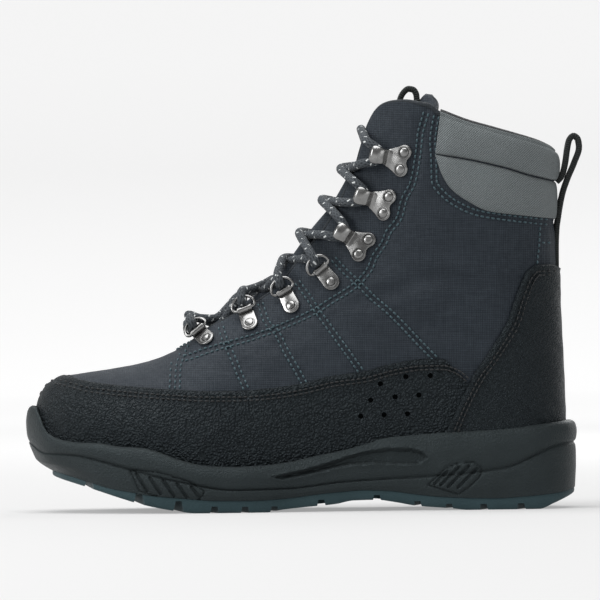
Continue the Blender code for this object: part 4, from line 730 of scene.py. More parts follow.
def stitches(name, rows, look, thick=STITCH_WIDTH):
    """Short round threads end to end. rows lists points and normals of each row."""
    sides, radius = 6, thick / 2.0
    stations = np.array([-0.5, -0.32, 0.0, 0.32, 0.5]) * STITCH_LENGTH
    heights = np.array([-0.25, 0.55, 0.75, 0.55, -0.25]) * radius
    widths = np.array([0.35, 0.9, 1.0, 0.9, 0.35]) * radius
    angle = circle_angles(sides)
    block = tube_faces(len(stations), sides)
    points, faces, start = [], [], 0
    for places, normals in rows:
        for a, b, normal in zip(places[:-1], places[1:], normals[:-1]):
            if not 0.3 * STITCH_PITCH <= np.linalg.norm(b - a) <= 2.5 * STITCH_PITCH:
                continue
            along = unit(b - a)
            out = unit(normal - along * (normal @ along))
            across = np.cross(along, out)
            centre = (a + b) / 2.0 + along * stations[:, None] + out * heights[:, None]
            ring = np.cos(angle)[:, None] * across + np.sin(angle)[:, None] * out
            points.append((centre[:, None, :] + ring[None] * widths[:, None, None]).reshape(-1, 3))
            faces += [[k + start for k in face] for face in block]
            start += len(stations) * sides
    return object_of(name, np.concatenate(points), faces, look)


# Fine structure of the looks, in metres
CANVAS_THREAD = 0.00105
KNIT_RIB = 0.00135
KNIT_STITCH = 0.0016
WEBBING_RIB = 0.0012
WEBBING_CORD = 0.0017
PEBBLE_DRIFT = 0.0022
BRAID_PITCH = 0.0032
FLECK_PITCH = 0.0100
FLECK_SLANT = 0.0042
# How many yarns of the lace cross each other round it
BRAID_YARNS = 8.0


# Shader nodes
def place(tree, kind, inputs=None, **settings):
    """A shader node. inputs holds sockets to link from, or plain values."""
    node = tree.nodes.new("ShaderNode" + kind)
    for key, value in settings.items():
        setattr(node, key, value)
    for key, value in (inputs or {}).items():
        if isinstance(value, bpy.types.NodeSocket):
            tree.links.new(value, node.inputs[key])
        else:
            node.inputs[key].default_value = value
    return node


def maths(tree, operation, first, second=0.0):
    return place(tree, "Math", {0: first, 1: second}, operation=operation).outputs[0]


def vector_maths(tree, operation, first, second):
    return place(tree, "VectorMath", {0: first, 1: second}, operation=operation).outputs[0]


def weighted(tree, first, *others):
    """The sum of values times their weights."""
    total = maths(tree, "MULTIPLY", *first)
    for pair in others:
        total = maths(tree, "ADD", total, maths(tree, "MULTIPLY", *pair))
    return total


def wave(tree, value, pitch):
    """A sine that comes round once in each pitch."""
    return maths(tree, "SINE", maths(tree, "MULTIPLY", value, 2.0 * math.pi / pitch))


def split(tree, vector):
    """The x, y and z of a vector."""
    parts = place(tree, "SeparateXYZ", {"Vector": vector})
    return parts.outputs["X"], parts.outputs["Y"], parts.outputs["Z"]


def coordinates(tree, kind):
    return place(tree, "TexCoord").outputs[kind]


def object_place(tree, stretch=(1.0, 1.0, 1.0)):
    return place(tree, "Mapping", {"Vector": coordinates(tree, "Object"), "Scale": stretch}).outputs[0]


def noise(tree, where, scale, detail=3.0, rough=0.55):
    return place(tree, "TexNoise", {"Vector": where, "Scale": scale, "Detail": detail,
                                    "Roughness": rough}).outputs["Fac"]


def spread(tree, value, low, high, to_low=0.0, to_high=1.0, **settings):
    """The range from low to high, stretched to another range and held at its ends."""
    return place(tree, "MapRange", {"Value": value, "From Min": low, "From Max": high,
                                    "To Min": to_low, "To Max": to_high}, **settings).outputs[0]


def mixed(tree, factor, first, second):
    return place(tree, "Mix", {0: factor, 2: first, 3: second}, data_type="FLOAT").outputs[0]


def blend_colours(tree, factor, first, second):
    """A mix of two colours, or of sockets that hold them."""
    mix = place(tree, "Mix", {"Factor": factor}, data_type="RGBA")
    for key, value in ((6, first), (7, second)):
        if isinstance(value, bpy.types.NodeSocket):
            tree.links.new(value, mix.inputs[key])
        else:
            mix.inputs[key].default_value = (*value, 1.0)
    return mix.outputs[2]


def shades(colour, *factors):
    """The same colour, darker or lighter."""
    return [tuple(part * factor for part in colour) for factor in factors]


def new_look(name, roughness, metallic=0.0, **shader_values):
    look = bpy.data.materials.new(name)
    look.use_nodes = True
    shader = look.node_tree.nodes["Principled BSDF"]
    shader.inputs["Roughness"].default_value = roughness
    shader.inputs["Metallic"].default_value = metallic
    for key, value in shader_values.items():
        shader.inputs[key.replace("_", " ")].default_value = value
    return look, look.node_tree, shader


def paint(tree, shader, factor, first, second):
    tree.links.new(blend_colours(tree, factor, first, second), shader.inputs["Base Color"])


def roughen(tree, shader, value, low, high, at_low, at_high):
    tree.links.new(spread(tree, value, low, high, at_low, at_high), shader.inputs["Roughness"])


def bump(tree, shader, height, strength, distance):
    node = place(tree, "Bump", {"Height": height, "Strength": strength, "Distance": distance})
    tree.links.new(node.outputs[0], shader.inputs["Normal"])


def facing(tree, axis):
    """0 where the surface faces away from an axis, 1 where it faces along it."""
    normal = split(tree, place(tree, "NewGeometry").outputs["Normal"])
    return spread(tree, maths(tree, "ABSOLUTE", normal[axis]), 0.72, 0.86)


def weave_height(tree, u, v, pitch):
    """A plain weave: threads both ways that pass over and under each other."""
    wave_u = wave(tree, u, 2.0 * pitch)
    wave_v = wave(tree, v, 2.0 * pitch)
    over = maths(tree, "MULTIPLY", wave_u, wave_v)
    warp = maths(tree, "MULTIPLY", maths(tree, "ABSOLUTE", wave_u), spread(tree, over, -1.0, 1.0, 0.3, 1.0))
    weft = maths(tree, "MULTIPLY", maths(tree, "ABSOLUTE", wave_v), spread(tree, over, -1.0, 1.0, 1.0, 0.3))
    return maths(tree, "MAXIMUM", warp, weft)


def woven(tree, pitch):
    """A weave laid on from the side, the front and above, each where the surface faces that way."""
    x, y, z = split(tree, coordinates(tree, "Object"))
    upright = mixed(tree, facing(tree, 0), weave_height(tree, x, z, pitch), weave_height(tree, y, z, pitch))
    return mixed(tree, facing(tree, 2), upright, weave_height(tree, x, y, pitch))


# Materials
def canvas_look(name="navy_canvas", dark=(0.0065, 0.0100, 0.0150), light=(0.0275, 0.0370, 0.0480)):
    """A plain weave of uneven threads, faintly clouded."""
    look, tree, shader = new_look(name, 0.62, Sheen_Weight=0.03, Sheen_Roughness=0.45,
                                  Specular_IOR_Level=0.22)
    threads = woven(tree, CANVAS_THREAD)
    level, upright = (noise(tree, object_place(tree, stretch), 640.0, 2.0)
                      for stretch in ((0.16, 1.0, 2.2), (2.2, 1.0, 0.16)))
    streaks = maths(tree, "MULTIPLY", maths(tree, "ADD", level, upright), 0.5)
    cloudy = noise(tree, object_place(tree), 34.0)
    tone = maths(tree, "ADD", spread(tree, streaks, 0.34, 0.66, 0.22, 0.68),
                 spread(tree, cloudy, 0.3, 0.7, -0.08, 0.08))
    tone = maths(tree, "ADD", tone, spread(tree, threads, 0.15, 1.0, -0.60, 0.42))
    paint(tree, shader, tone, dark, light)
    roughen(tree, shader, streaks, 0.35, 0.65, 0.74, 0.56)
    bump(tree, shader, weighted(tree, (threads, 0.55), (streaks, 0.35)), 0.8, 0.0004)
    return look


def pebbled_look(name="black_rubberised", grain=760.0, colour=(0.0068, 0.0084, 0.0100), depth=0.0012):
    """Close round humps that drift a little out of order, with painted highlight on their crests and painted
    shade between them.
    """
    look, tree, shader = new_look(name, 0.48, Specular_IOR_Level=0.24,
                                  Specular_Tint=(0.74, 0.92, 1.0, 1.0))
    where = object_place(tree)
    cloud = place(tree, "TexNoise", {"Vector": where, "Scale": 300.0, "Detail": 2.0}).outputs["Color"]
    drift = vector_maths(tree, "MULTIPLY", cloud, (PEBBLE_DRIFT, PEBBLE_DRIFT, PEBBLE_DRIFT))
    bent = vector_maths(tree, "ADD", where, drift)
    cells = place(tree, "TexVoronoi", {"Vector": bent, "Scale": grain, "Smoothness": 0.45},
                  feature="SMOOTH_F1").outputs["Distance"]
    fine = noise(tree, where, 2600.0, 2.0)
    humps = spread(tree, cells, 0.0, 0.75, 1.0, 0.0)
    height = maths(tree, "ADD", humps, maths(tree, "MULTIPLY", fine, 0.18))
    # Painted light: the pebbles' crests are painted lighter and the hollows between them darker, where
    # highlight and shade would fall.
    paint(tree, shader, humps, *shades(colour, 0.30, 1.60))
    roughen(tree, shader, noise(tree, where, 45.0), 0.3, 0.7, 0.54, 0.42)
    bump(tree, shader, height, 1.0, depth)
    return look


def moulded_look(name, colour, roughness, grain, depth, gloss=0.31):
    """Moulded rubber or foam with a fine texture and faint handling marks."""
    look, tree, shader = new_look(name, roughness, Specular_IOR_Level=gloss,
                                  Specular_Tint=(0.74, 0.94, 1.0, 1.0))
    where = object_place(tree)
    broad = noise(tree, where, 38.0)
    paint(tree, shader, spread(tree, broad, 0.3, 0.7), *shades(colour, 0.86, 1.16))
    roughen(tree, shader, broad, 0.3, 0.7, roughness + 0.06, roughness - 0.05)
    bump(tree, shader, noise(tree, where, grain, 3.0, 0.6), 0.5, depth)
    return look


def knit_look(name="grey_knit", dark=(0.062, 0.072, 0.075), light=(0.184, 0.205, 0.209)):
    """A twill knit whose ribs climb to the back."""
    look, tree, shader = new_look(name, 0.85, Sheen_Weight=0.06, Sheen_Roughness=0.5,
                                  Specular_IOR_Level=0.2)
    x, y, z = split(tree, coordinates(tree, "Object"))
    level = mixed(tree, facing(tree, 0), x, y)
    slant = maths(tree, "ADD", maths(tree, "MULTIPLY", level, -0.9), z)
    fuzz = noise(tree, object_place(tree), 1500.0, 2.0)
    height = weighted(tree, (wave(tree, slant, KNIT_RIB), 0.5), (wave(tree, level, KNIT_STITCH), 0.03),
                      (fuzz, 1.1))
    paint(tree, shader, spread(tree, height, -0.45, 1.2), dark, light)
    bump(tree, shader, height, 0.9, 0.0004)
    return look


def webbing_look(name="black_webbing", colour=(0.010, 0.0125, 0.0120)):
    """A narrow weave whose ribs follow the band."""
    look, tree, shader = new_look(name, 0.7, Sheen_Weight=0.04, Specular_IOR_Level=0.25)
    along, across, _ = split(tree, coordinates(tree, "UV"))
    ribs = maths(tree, "MULTIPLY", wave(tree, along, WEBBING_RIB), wave(tree, across, WEBBING_CORD))
    height = maths(tree, "ADD", ribs, noise(tree, object_place(tree), 1800.0, 2.0))
    paint(tree, shader, spread(tree, height, -0.6, 1.6), *shades(colour, 0.5, 1.9))
    bump(tree, shader, height, 0.7, 0.0003)
    return look


def nickel_look(name="nickel"):
    """Tumbled metal with duller patches."""
    look, tree, shader = new_look(name, 0.2, 1.0)
    where = object_place(tree)
    patches = noise(tree, where, 240.0)
    paint(tree, shader, spread(tree, patches, 0.35, 0.65), (0.19, 0.19, 0.188), (0.27, 0.27, 0.267))
    roughen(tree, shader, patches, 0.3, 0.7, 0.20, 0.30)
    bump(tree, shader, noise(tree, where, 400.0, 1.0), 0.03, 0.0001)
    return look


def lace_look(name="grey_cord"):
    """A braid of dark and grey yarns, with pale flecks in pairs."""
    look, tree, shader = new_look(name, 0.75, Sheen_Weight=0.05, Specular_IOR_Level=0.25)
    around, along, _ = split(tree, coordinates(tree, "UV"))
    turned = maths(tree, "MULTIPLY", around, BRAID_YARNS)
    run = maths(tree, "MULTIPLY", along, 1.0 / BRAID_PITCH)
    one, other = (maths(tree, "ABSOLUTE", wave(tree, maths(tree, way, turned, run), 2.0))
                  for way in ("ADD", "SUBTRACT"))
    yarns = maths(tree, "MAXIMUM", one, other)
    slow = maths(tree, "ADD", maths(tree, "MULTIPLY", along, 1.0 / FLECK_PITCH), around)
    stripe = maths(tree, "LESS_THAN", maths(tree, "FRACT", slow), 0.20)
    slant = maths(tree, "SUBTRACT", maths(tree, "MULTIPLY", around, 3.0),
                  maths(tree, "MULTIPLY", along, 1.0 / FLECK_SLANT))
    pairs = maths(tree, "LESS_THAN", maths(tree, "FRACT", slant), 0.24)
    fleck = maths(tree, "MULTIPLY", stripe, pairs)
    base = blend_colours(tree, spread(tree, yarns, 0.4, 1.0), (0.010, 0.013, 0.016), (0.052, 0.060, 0.068))
    paint(tree, shader, fleck, base, (0.50, 0.52, 0.52))
    bump(tree, shader, yarns, 0.6, 0.0004)
    return look


def thread_look(name="teal_thread", colour=(0.026, 0.060, 0.074)):
    """Twisted sewing thread."""
    look, tree, shader = new_look(name, 0.6, Sheen_Weight=0.1)
    twist = noise(tree, object_place(tree), 1400.0, 2.0)
    paint(tree, shader, spread(tree, twist, 0.3, 0.7), *shades(colour, 0.7, 1.25))
    bump(tree, shader, twist, 0.4, 0.0002)
    return look


def floor_look(name="pale_floor"):
    """Pale all over: it glows more where the lamps reach it less."""
    look, tree, shader = new_look(name, 0.9, Specular_IOR_Level=0.0, Base_Color=(0.35, 0.35, 0.35, 1.0),
                                  Emission_Color=(1.0, 1.0, 1.0, 1.0))
    where = object_place(tree)
    away = place(tree, "VectorMath", {0: where}, operation="LENGTH").outputs["Value"]
    height = split(tree, where)[2]
    glow = spread(tree, away, 0.0, 3.2, 0.33, 0.82, interpolation_type="SMOOTHSTEP")
    glow = maths(tree, "SUBTRACT", glow, spread(tree, height, 0.0, 0.3, 0.0, 0.165))
    tree.links.new(glow, shader.inputs["Emission Strength"])
    return look


# Upper
def evenly_spread_rows(first, last, count, turn=0.35):
    """Row numbers whose places on the outer side stand evenly apart."""
    rows = np.linspace(first, last, 1200)
    places = form_point(rows, turn, OUTER)
    along = length_along(places)
    return np.interp(np.linspace(0.0, along[-1], count), along, rows)


def throat_half_gap(row):
    """Half the throat's width, which opens at its start and narrows to the top."""
    opened = np.clip((row - THROAT_START_ROW) / 1.1, 0.0, 1.0)
    near_top = np.clip((row - 20.0) / 10.0, 0.0, 1.0)
    return THROAT_WIDTH / 2.0 * np.sqrt(opened) * (1.0 - 0.22 * near_top)


def throat_turn(row, side):
    return turn_for_half_gap(np.minimum(row, LAST_ROW), side, throat_half_gap(row))


# Creases in the canvas, in millimetres: x and z of both ends, half width, depth
CREASES = (
    (30.0, 118.0, 74.0, 132.0, 4.5, 0.7), (62.0, 136.0, 104.0, 128.0, 5.5, 0.6),
    (70.0, 106.0, 100.0, 96.0, 6.0, 0.6), (84.0, 150.0, 122.0, 142.0, 6.0, 0.5),
    (-60.0, 86.0, -30.0, 80.0, 5.0, 0.4), (-22.0, 92.0, -4.0, 100.0, 4.0, 0.4),
)


def upper_relief(places, side):
    """How far the canvas stands off the form, from x and z in the side view."""
    nearest = np.full(places.shape[:-1], 1.0)
    for line in (*QUILT_LINES, EYESTAY_ROW, COLLAR_ROW, VAMP_ROW):
        nearest = np.minimum(nearest, distance_to_line(places, in_metres(line)))
    relief = 0.55 * MM * (1.0 - bell(nearest, 7.0 * MM))
    relief -= 0.75 * MM * bell(nearest, 2.3 * MM)
    for x1, z1, x2, z2, half, depth in CREASES:
        away = distance_to_line(places, in_metres(((x1, z1), (x2, z2))))
        relief -= depth * MM * bell(away, half * MM)
        relief += 0.5 * depth * MM * bell(away - 1.6 * half * MM, half * MM)
    x, z = places[..., 0] / MM, places[..., 1] / MM
    ripple = np.sin(x * 0.21 + 0.35 * side + np.sin(z * 0.13) * 1.7)
    ripple *= np.sin(z * 0.17 + np.sin(x * 0.09) * 2.1)
    ripple += 0.5 * np.sin(x * 0.47 + z * 0.29 + side) * np.sin(z * 0.39 - x * 0.11)
    return relief + 0.16 * MM * ripple


def upper_surface(x, z, side, lift=0.0):
    """Points and normals on the canvas at x and z, seen from the side."""
    row, turn = find_on_form(x, z, side)
    places = np.stack([np.asarray(x, float), np.asarray(z, float)], axis=-1)
    relief = upper_relief(places, side)
    return lifted_point(row, turn, side, relief + lift), form_normal(row, turn, side)


def stretched_row(row, top):
    """Rows past the bend, stretched so that TOP_ROW comes to the row called top."""
    bend = 26.0
    return np.where(row > bend, bend + (top - bend) * (row - bend) / (TOP_ROW - bend), row)


def make_upper(look):
    """The canvas shell: two sheets a wall apart, open at throat and collar."""
    rows = evenly_spread_rows(FIRST_ROW, TOP_ROW, 210)
    steps = 110
    near, far = [], []
    for side in (OUTER, INNER):
        start = np.where(rows > THROAT_START_ROW, throat_turn(rows, side), 0.0)[:, None]
        turn = start + (1.0 - start) * np.linspace(0.0, 1.0, steps)[None, :]
        top = row_on_line(turn[-1], side, top_edge_line)
        row = stretched_row(np.repeat(rows[:, None], steps, axis=1), top[None, :])
        form = form_point(row, turn, side)
        relief = upper_relief(form[..., [0, 2]], side)
        edge = np.linalg.norm(form - form[:, :1], axis=-1)
        open_front = (rows > THROAT_START_ROW)[:, None]
        hem = np.where(open_front, soft_step(edge, 0.0, 0.9 * MM), 1.0)
        relief = relief * soft_step(edge + (~open_front) * 1.0, 0.0, 4.0 * MM)
        relief += np.where(open_front, 0.45 * MM * bell(edge - 1.8 * MM, 1.5 * MM), 0.0)
        near.append(lifted_point(row, turn, side, relief - 0.9 * MM * (1.0 - hem)))
        far.append(lifted_point(row, turn, side, np.full(row.shape, -UPPER_WALL) + 0.5 * MM * (1.0 - hem)))
    item = shell_object("upper_shell", near, far, look)
    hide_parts("upper")
    return item


# Overlays
def edge_turns(rows, side, inside_test):
    """The first turn of each row that lies inside an outline seen from the side."""
    def outside(turn):
        point = form_point(rows, turn, side)
        return ~inside_test(point[..., 0], point[..., 2])

    _, first_inside = halved(np.zeros(len(rows)), np.ones(len(rows)), outside, 45)
    return np.where(outside(0.0), first_inside, 0.0)


def lip(away):
    """A rolled lip along an overlay's edge, with a stitched trough behind it."""
    width = 3.6 * MM
    rise = soft_step(away, 0.0, 0.8 * MM) - 1.0
    bead = 0.22 * MM * np.exp(-((away - 0.45 * width) / (0.42 * width)) ** 4)
    trough = -0.30 * MM * bell(away - 1.25 * width, 0.9 * MM)
    return rise * 0.9 * MM + bead + trough


def rand_inside(x, z):
    return z < rand_edge_line(x)


RAND_LINE = side_points(RAND_EDGE)
COUNTER_LINE = side_points(COUNTER_FRONT[::-1] + COUNTER_EDGE[1:])


def counter_inside(x, z):
    return x > np.interp(z, COUNTER_LINE[:-1, 1], COUNTER_LINE[:-1, 0], right=1.0)


def pebble_relief(form):
    """Low swells under the grain, so the black overlay never looks machined."""
    x, y, z = (form[..., k] / MM for k in range(3))
    return 0.10 * MM * (np.sin(x * 0.31 + np.sin(z * 0.23)) * np.sin(z * 0.37 + y * 0.19)
                        + 0.6 * np.sin(x * 0.63 + y * 0.4) * np.sin(z * 0.71 - x * 0.2))


def overlay_grids(rows, inside_test, line, lift, thickness, steps, extra):
    """Outer and inner sheets of an overlay, from its edge in the side view to the foot or back line."""
    near, far = [], []
    for side in (OUTER, INNER):
        start = edge_turns(rows, side, inside_test)[:, None]
        turn = start + (1.0 - start) * np.linspace(0.0, 1.0, steps)[None, :]
        row = np.repeat(rows[:, None], steps, axis=1)
        form = form_point(row, turn, side)
        away = distance_to_line(form[..., [0, 2]], line)
        relief = lip(away) + pebble_relief(form) + extra(form)
        near.append(lifted_point(row, turn, side, relief + lift + thickness))
        far.append(lifted_point(row, turn, side, np.full(row.shape, lift)))
    return near, far


def make_rand(look):
    """The overlay round the toe and along both sides, with its vent holes."""
    rows = evenly_spread_rows(FIRST_ROW, RAND_TOP_ROW, 260, turn=0.6)

    def crease(form):
        away = distance_to_line(form[..., [0, 2]], in_metres(((-65.0, 32.0), (-44.0, 52.0), (-22.0, 71.0))))
        return 0.35 * MM * bell(away, 4.0 * MM)

    near, far = overlay_grids(rows, rand_inside, RAND_LINE, GAP, RAND_THICKNESS, 90, crease)
    item = shell_object("rand_overlay", near, far, look)
    cut_vents(item)
    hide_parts("toe_rand")
    return item


def vent_places():
    return [(float(x_at(at)), z * SHAFT_HEIGHT) for at, z in VENTS]


def vent_discs(lift, low_radius, high_radius, depth):
    """A work mesh with a short round bar at each vent, square to the form."""
    work = bmesh.new()
    for x, z in vent_places():
        for side in (OUTER, INNER):
            row, turn = find_on_form(x, z, side)
            out = Vector(form_normal(row, turn, side))
            move = Matrix.Translation(Vector(form_point(row, turn, side)) + out * lift)
            bmesh.ops.create_cone(work, segments=20, cap_ends=True, radius1=low_radius, radius2=high_radius,
                                  depth=depth, matrix=move @ out.to_track_quat("Z", "Y").to_matrix().to_4x4())
    return work


def cut_vents(item):
    """Real holes through the overlay, with a soft countersunk mouth."""
    work = vent_discs(0.0015, VENT_WIDTH / 2.0, VENT_WIDTH / 2.0 * 1.12, 0.006)
    cut_away(item, linked("vent_cutter", mesh_of("vent_cutter", work)))


def make_vent_shade_discs(look):
    """Near-black discs in the vent holes: painted shade that stands in for the dark inside of each hole."""
    mesh = mesh_of("vent_shade_discs", vent_discs(0.0008, VENT_WIDTH * 0.56, VENT_WIDTH * 0.56, 0.0006))
    mesh.materials.append(look)
    item = linked("vent_shade_discs", mesh)
    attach(item, "root")
    return item


def cut_away(item, cutter):
    change = item.modifiers.new("cut", "BOOLEAN")
    change.operation = "DIFFERENCE"
    change.solver = "MANIFOLD"
    change.object = cutter
    apply_modifiers(item)
    bpy.data.objects.remove(cutter, do_unlink=True)


def apply_modifiers(item):
    """Makes the modified shape the object's own mesh."""
    view = bpy.context.evaluated_depsgraph_get()
    view.update()
    mesh = bpy.data.meshes.new_from_object(item.evaluated_get(view))
    item.modifiers.clear()
    item.data = mesh
    mesh.name = item.name


def make_counter(look):
    """The overlay round the heel, which lies on the rand."""
    rows = evenly_spread_rows(*COUNTER_ROWS, 150, turn=0.9)
    near, far = overlay_grids(rows, counter_inside, COUNTER_LINE[:-1], COUNTER_LIFT, COUNTER_THICKNESS, 70,
                              lambda form: np.zeros(form.shape[:-1]))
    item = shell_object("heel_overlay", near, far, look)
    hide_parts("heel_counter")
    return item


# Collar pads
PAD_FIRST_TURN = 5.0 / 12.0


def collar_stations(count=120):
    """Side and turn of each section of a pad: from one end round the back to the other."""
    turns = np.linspace(PAD_FIRST_TURN, 1.0, count)
    return [(OUTER, turn) for turn in turns] + [(INNER, turn) for turn in turns[-2::-1]]


def pad_object(name, line_top, line_foot, profile, look, lining=None, lined=(0, 0)):
    """A stuffed roll round the collar.

    profile gives share, rise and lift round the section. lined is the range of
    its sides that carry the lining.
    """
    stations = collar_stations()
    turns = np.array([turn for _, turn in stations])
    outer = np.array([side for side, _ in stations]) < 0.0
    tops, feet = (np.where(outer, row_on_line(turns, OUTER, line), row_on_line(turns, INNER, line))
                  for line in (line_top, line_foot))
    sections = []
    for (side, turn), top, foot in zip(stations, tops, feet):
        along = (turn - PAD_FIRST_TURN) / (1.0 - PAD_FIRST_TURN)
        ease = float(soft_step(along, 0.0, 0.075))
        share, rise, lift = profile(max(0.0, (turn - 0.75) / 0.25), ease, turn * 40.0 * side)
        row = np.minimum(foot + (top - foot) * share, LAST_ROW)
        section = lifted_point(row, np.full(row.shape, turn), side, lift)
        section[:, 2] += rise
        sections.append(section)
    points = np.array(sections)
    item = ringed_object(name, points, look)
    if lining is not None:
        item.data.materials.append(lining)
        first, last = lined
        dark = [first <= k % points.shape[1] < last for k in range(len(item.data.polygons))]
        item.data.polygons.foreach_set("material_index", np.array(dark, np.int32))
    return item


def pad_puff(outside, least, most, fullness, ease):
    """How far a roll's outside stands off between its two seams."""
    swell = np.sqrt(np.clip(1.0 - np.abs(2.0 * outside - 1.0) ** fullness, 0.0, 1.0))
    return (least + most * swell) * MM * (0.35 + 0.65 * ease)


def upper_pad_profile(back, ease, phase):
    """Up the outside, over the top edge, down the lining and back under the roll."""
    outside = np.linspace(0.0, 1.0, 26)
    puff = pad_puff(outside, 0.8, 2.5 * (1.0 + 0.15 * back), 2.6, ease)
    puff += 0.10 * MM * np.sin(phase + outside * 5.0)
    over = np.linspace(0.0, math.pi, 12)[1:-1]
    roll_rise = COLLAR_ROLL_HEIGHT * np.sin(over)
    roll_lift = GAP - COLLAR_ROLL_HEIGHT + (COLLAR_LINING_PUFF + 0.0002) * np.cos(over)
    inside = np.linspace(1.0, 0.15, 14)
    lining = -(UPPER_WALL + GAP + COLLAR_LINING_PUFF * (0.6 + 0.4 * np.sin(inside * math.pi)))
    under = -UPPER_WALL - GAP
    share = np.concatenate([0.02 + 0.98 * outside, np.ones(len(over)), inside, [0.10, 0.55, 1.0, 1.0, 0.5]])
    rise = np.concatenate([np.zeros(26), roll_rise, np.zeros(14), [0.0, 0.0, 2.0 * GAP, 2.0 * GAP, 0.0]])
    lift = np.concatenate([GAP + puff, roll_lift, lining, [under, under, under, GAP, GAP]])
    return share, rise, lift


def lower_pad_profile(back, ease, phase):
    """Up the outside and straight back down on the canvas."""
    outside = np.linspace(0.0, 1.0, 30)
    puff = pad_puff(outside, 0.6, 2.0 * (1.0 - 0.35 * back), 2.4, ease)
    puff += 0.10 * MM * np.sin(phase * 0.9 + 2.0 + outside * 4.0)
    share = np.concatenate([outside * 0.985, [0.985, 0.5, 0.0]])
    lift = np.concatenate([GAP + puff, [GAP, GAP, GAP]])
    return share, np.zeros(len(share)), lift


def make_collar(look, lining):
    pad = pad_object("collar_roll", top_edge_line, band_seam_line, upper_pad_profile, look, lining, (27, 52))
    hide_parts("collar_pad")
    band = pad_object("collar_band_roll", band_seam_line, band_foot_line, lower_pad_profile, look)
    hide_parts("collar_band")
    return pad, band


# Tongue
TONGUE_FIRST_ROW, TONGUE_LAST_ROW = 9.9, 30.85


def tongue_lean(row):
    """How far the tongue's top leans back from the throat."""
    share = np.clip((row - 24.5) / (TONGUE_LAST_ROW - 24.5), 0.0, 1.0)
    return TONGUE_LEAN * share * share * (3.0 - 2.0 * share)


def tongue_lift(row, share):
    """The tongue's height over the form: flush in the throat, under the wall at its edges."""
    half_gap = THROAT_WIDTH / 2.0
    under = -(UPPER_WALL + 4.0 * GAP)
    sunk = 1.6 * MM * soft_step(row, 17.5, 20.5) * (1.0 - soft_step(row, 27.5, 29.5))
    flush = -2.0 * GAP - sunk * (1.0 - 0.35 * np.abs(share))
    edge = (half_gap - 0.0015) / (half_gap + TONGUE_TUCK)
    rise = np.clip((np.abs(share) - edge * 0.55) / (edge * 0.45), 0.0, 1.0)
    opened = np.clip((row - THROAT_START_ROW - 0.8) / 1.2, 0.0, 1.0)
    return flush * opened + under * (1.0 - opened) + (under - flush) * opened * rise


def make_tongue(look):
    """A thin pad with a rounded end that thickens to the top."""
    rows = evenly_spread_rows(TONGUE_FIRST_ROW, TONGUE_LAST_ROW, 170, turn=0.0)
    shares = np.linspace(-1.0, 1.0, 48)
    number = np.arange(len(rows))
    edge = np.sqrt(1.0 - np.clip((number - 160.0) / 9.5, 0.0, 0.999) ** 2)[:, None]
    wave = (0.25 * MM * np.sin(number * 0.21) + 0.15 * MM * np.sin(number * 0.083 + 1.0))[:, None]
    away = np.abs(shares)[None, :]
    row = rows[:, None] - 1.25 * away ** 2.0 * soft_step(rows, 25.0, TONGUE_LAST_ROW)[:, None]
    thick = (0.0050 + 0.0060 * soft_step(rows, 26.5, TONGUE_LAST_ROW)[:, None]) * (1.0 - 0.45 * away ** 3)
    middle = tongue_lift(row, shares[None, :]) + wave * (1.0 - away) - thick / 2.0
    half = thick / 2.0 * edge * np.sqrt(1.0 - 0.97 * away ** 8)
    sheets = []
    for lift in (middle + half, middle - half):
        by_side = []
        for side in (OUTER, INNER):
            turn = turn_for_half_gap(row, side, away * (THROAT_WIDTH / 2.0 + TONGUE_TUCK))
            by_side.append(lifted_point(row, turn, side, lift))
        sheet = np.where((shares < 0.0)[None, :, None], by_side[0], by_side[1])
        sheet[..., 0] += tongue_lean(row)
        sheets.append(sheet)
    item = ringed_object("tongue_pad", np.concatenate([sheets[0], sheets[1][:, -2:0:-1]], axis=1), look)
    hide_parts("tongue")
    return item


# Webbing loops
def webbing_object(name, table, look, node):
    """A ribbed band along a line in the side view."""
    line = even_line(side_points(table), WEBBING_STEP)
    tangent = unit(np.gradient(line, axis=0))
    normal = np.stack([-tangent[:, 1], tangent[:, 0]], axis=1)
    angle = circle_angles(28)
    across = WEBBING_WIDTH / 2.0 * squared_off(np.cos(angle), 0.25)
    out = WEBBING_THICKNESS / 2.0 * squared_off(np.sin(angle), 0.7)
    along = np.arange(len(line)) * WEBBING_STEP
    ribs = 1.0 + 0.10 * np.sin(along * 2.0 * math.pi / (2.0 * WEBBING_STEP))
    points = np.empty((len(line), len(angle), 3))
    points[..., 0] = line[:, None, 0] + normal[:, None, 0] * out[None] * ribs[:, None]
    points[..., 1] = across[None]
    points[..., 2] = line[:, None, 1] + normal[:, None, 1] * out[None] * ribs[:, None]
    lay = np.stack([np.repeat(along[:, None], len(angle), axis=1),
                    np.repeat(across[None], len(along), axis=0)], axis=-1)
    item = ringed_object(name, points, look, lay.reshape(-1, 2))
    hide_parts(node)
    return item


# Sole
def sole_outline(pitch):
    """Points round the sole at even steps, with outward normals."""
    shares, outer_widths, inner_widths = zip(*OUTLINE)
    ways = [math.acos(1.0 - 2.0 * share) / math.pi for share in shares]
    outer = smooth_curve(ways, outer_widths)
    inner = smooth_curve(ways, inner_widths)
    way = np.linspace(0.0, 1.0, 1500)
    x = x_at((1.0 - np.cos(math.pi * way)) / 2.0)
    ring = np.concatenate([np.stack([x, -outer(way) * BALL_WIDTH], axis=1),
                           np.stack([x, inner(way) * BALL_WIDTH], axis=1)[-2:0:-1]])
    closed = np.vstack([ring, ring[:1]])
    length = length_along(closed)[-1]
    points = points_at(np.linspace(0.0, length, int(length / pitch), endpoint=False), closed)
    for _ in range(12):
        points = (np.roll(points, 1, axis=0) + 2.0 * points + np.roll(points, -1, axis=0)) / 4.0
    tangent = np.roll(points, -1, axis=0) - np.roll(points, 1, axis=0)
    normal = unit(np.stack([tangent[:, 1], -tangent[:, 0]], axis=1))
    outward = np.sign(((points - points.mean(axis=0)) * normal).sum())
    return points, normal * outward


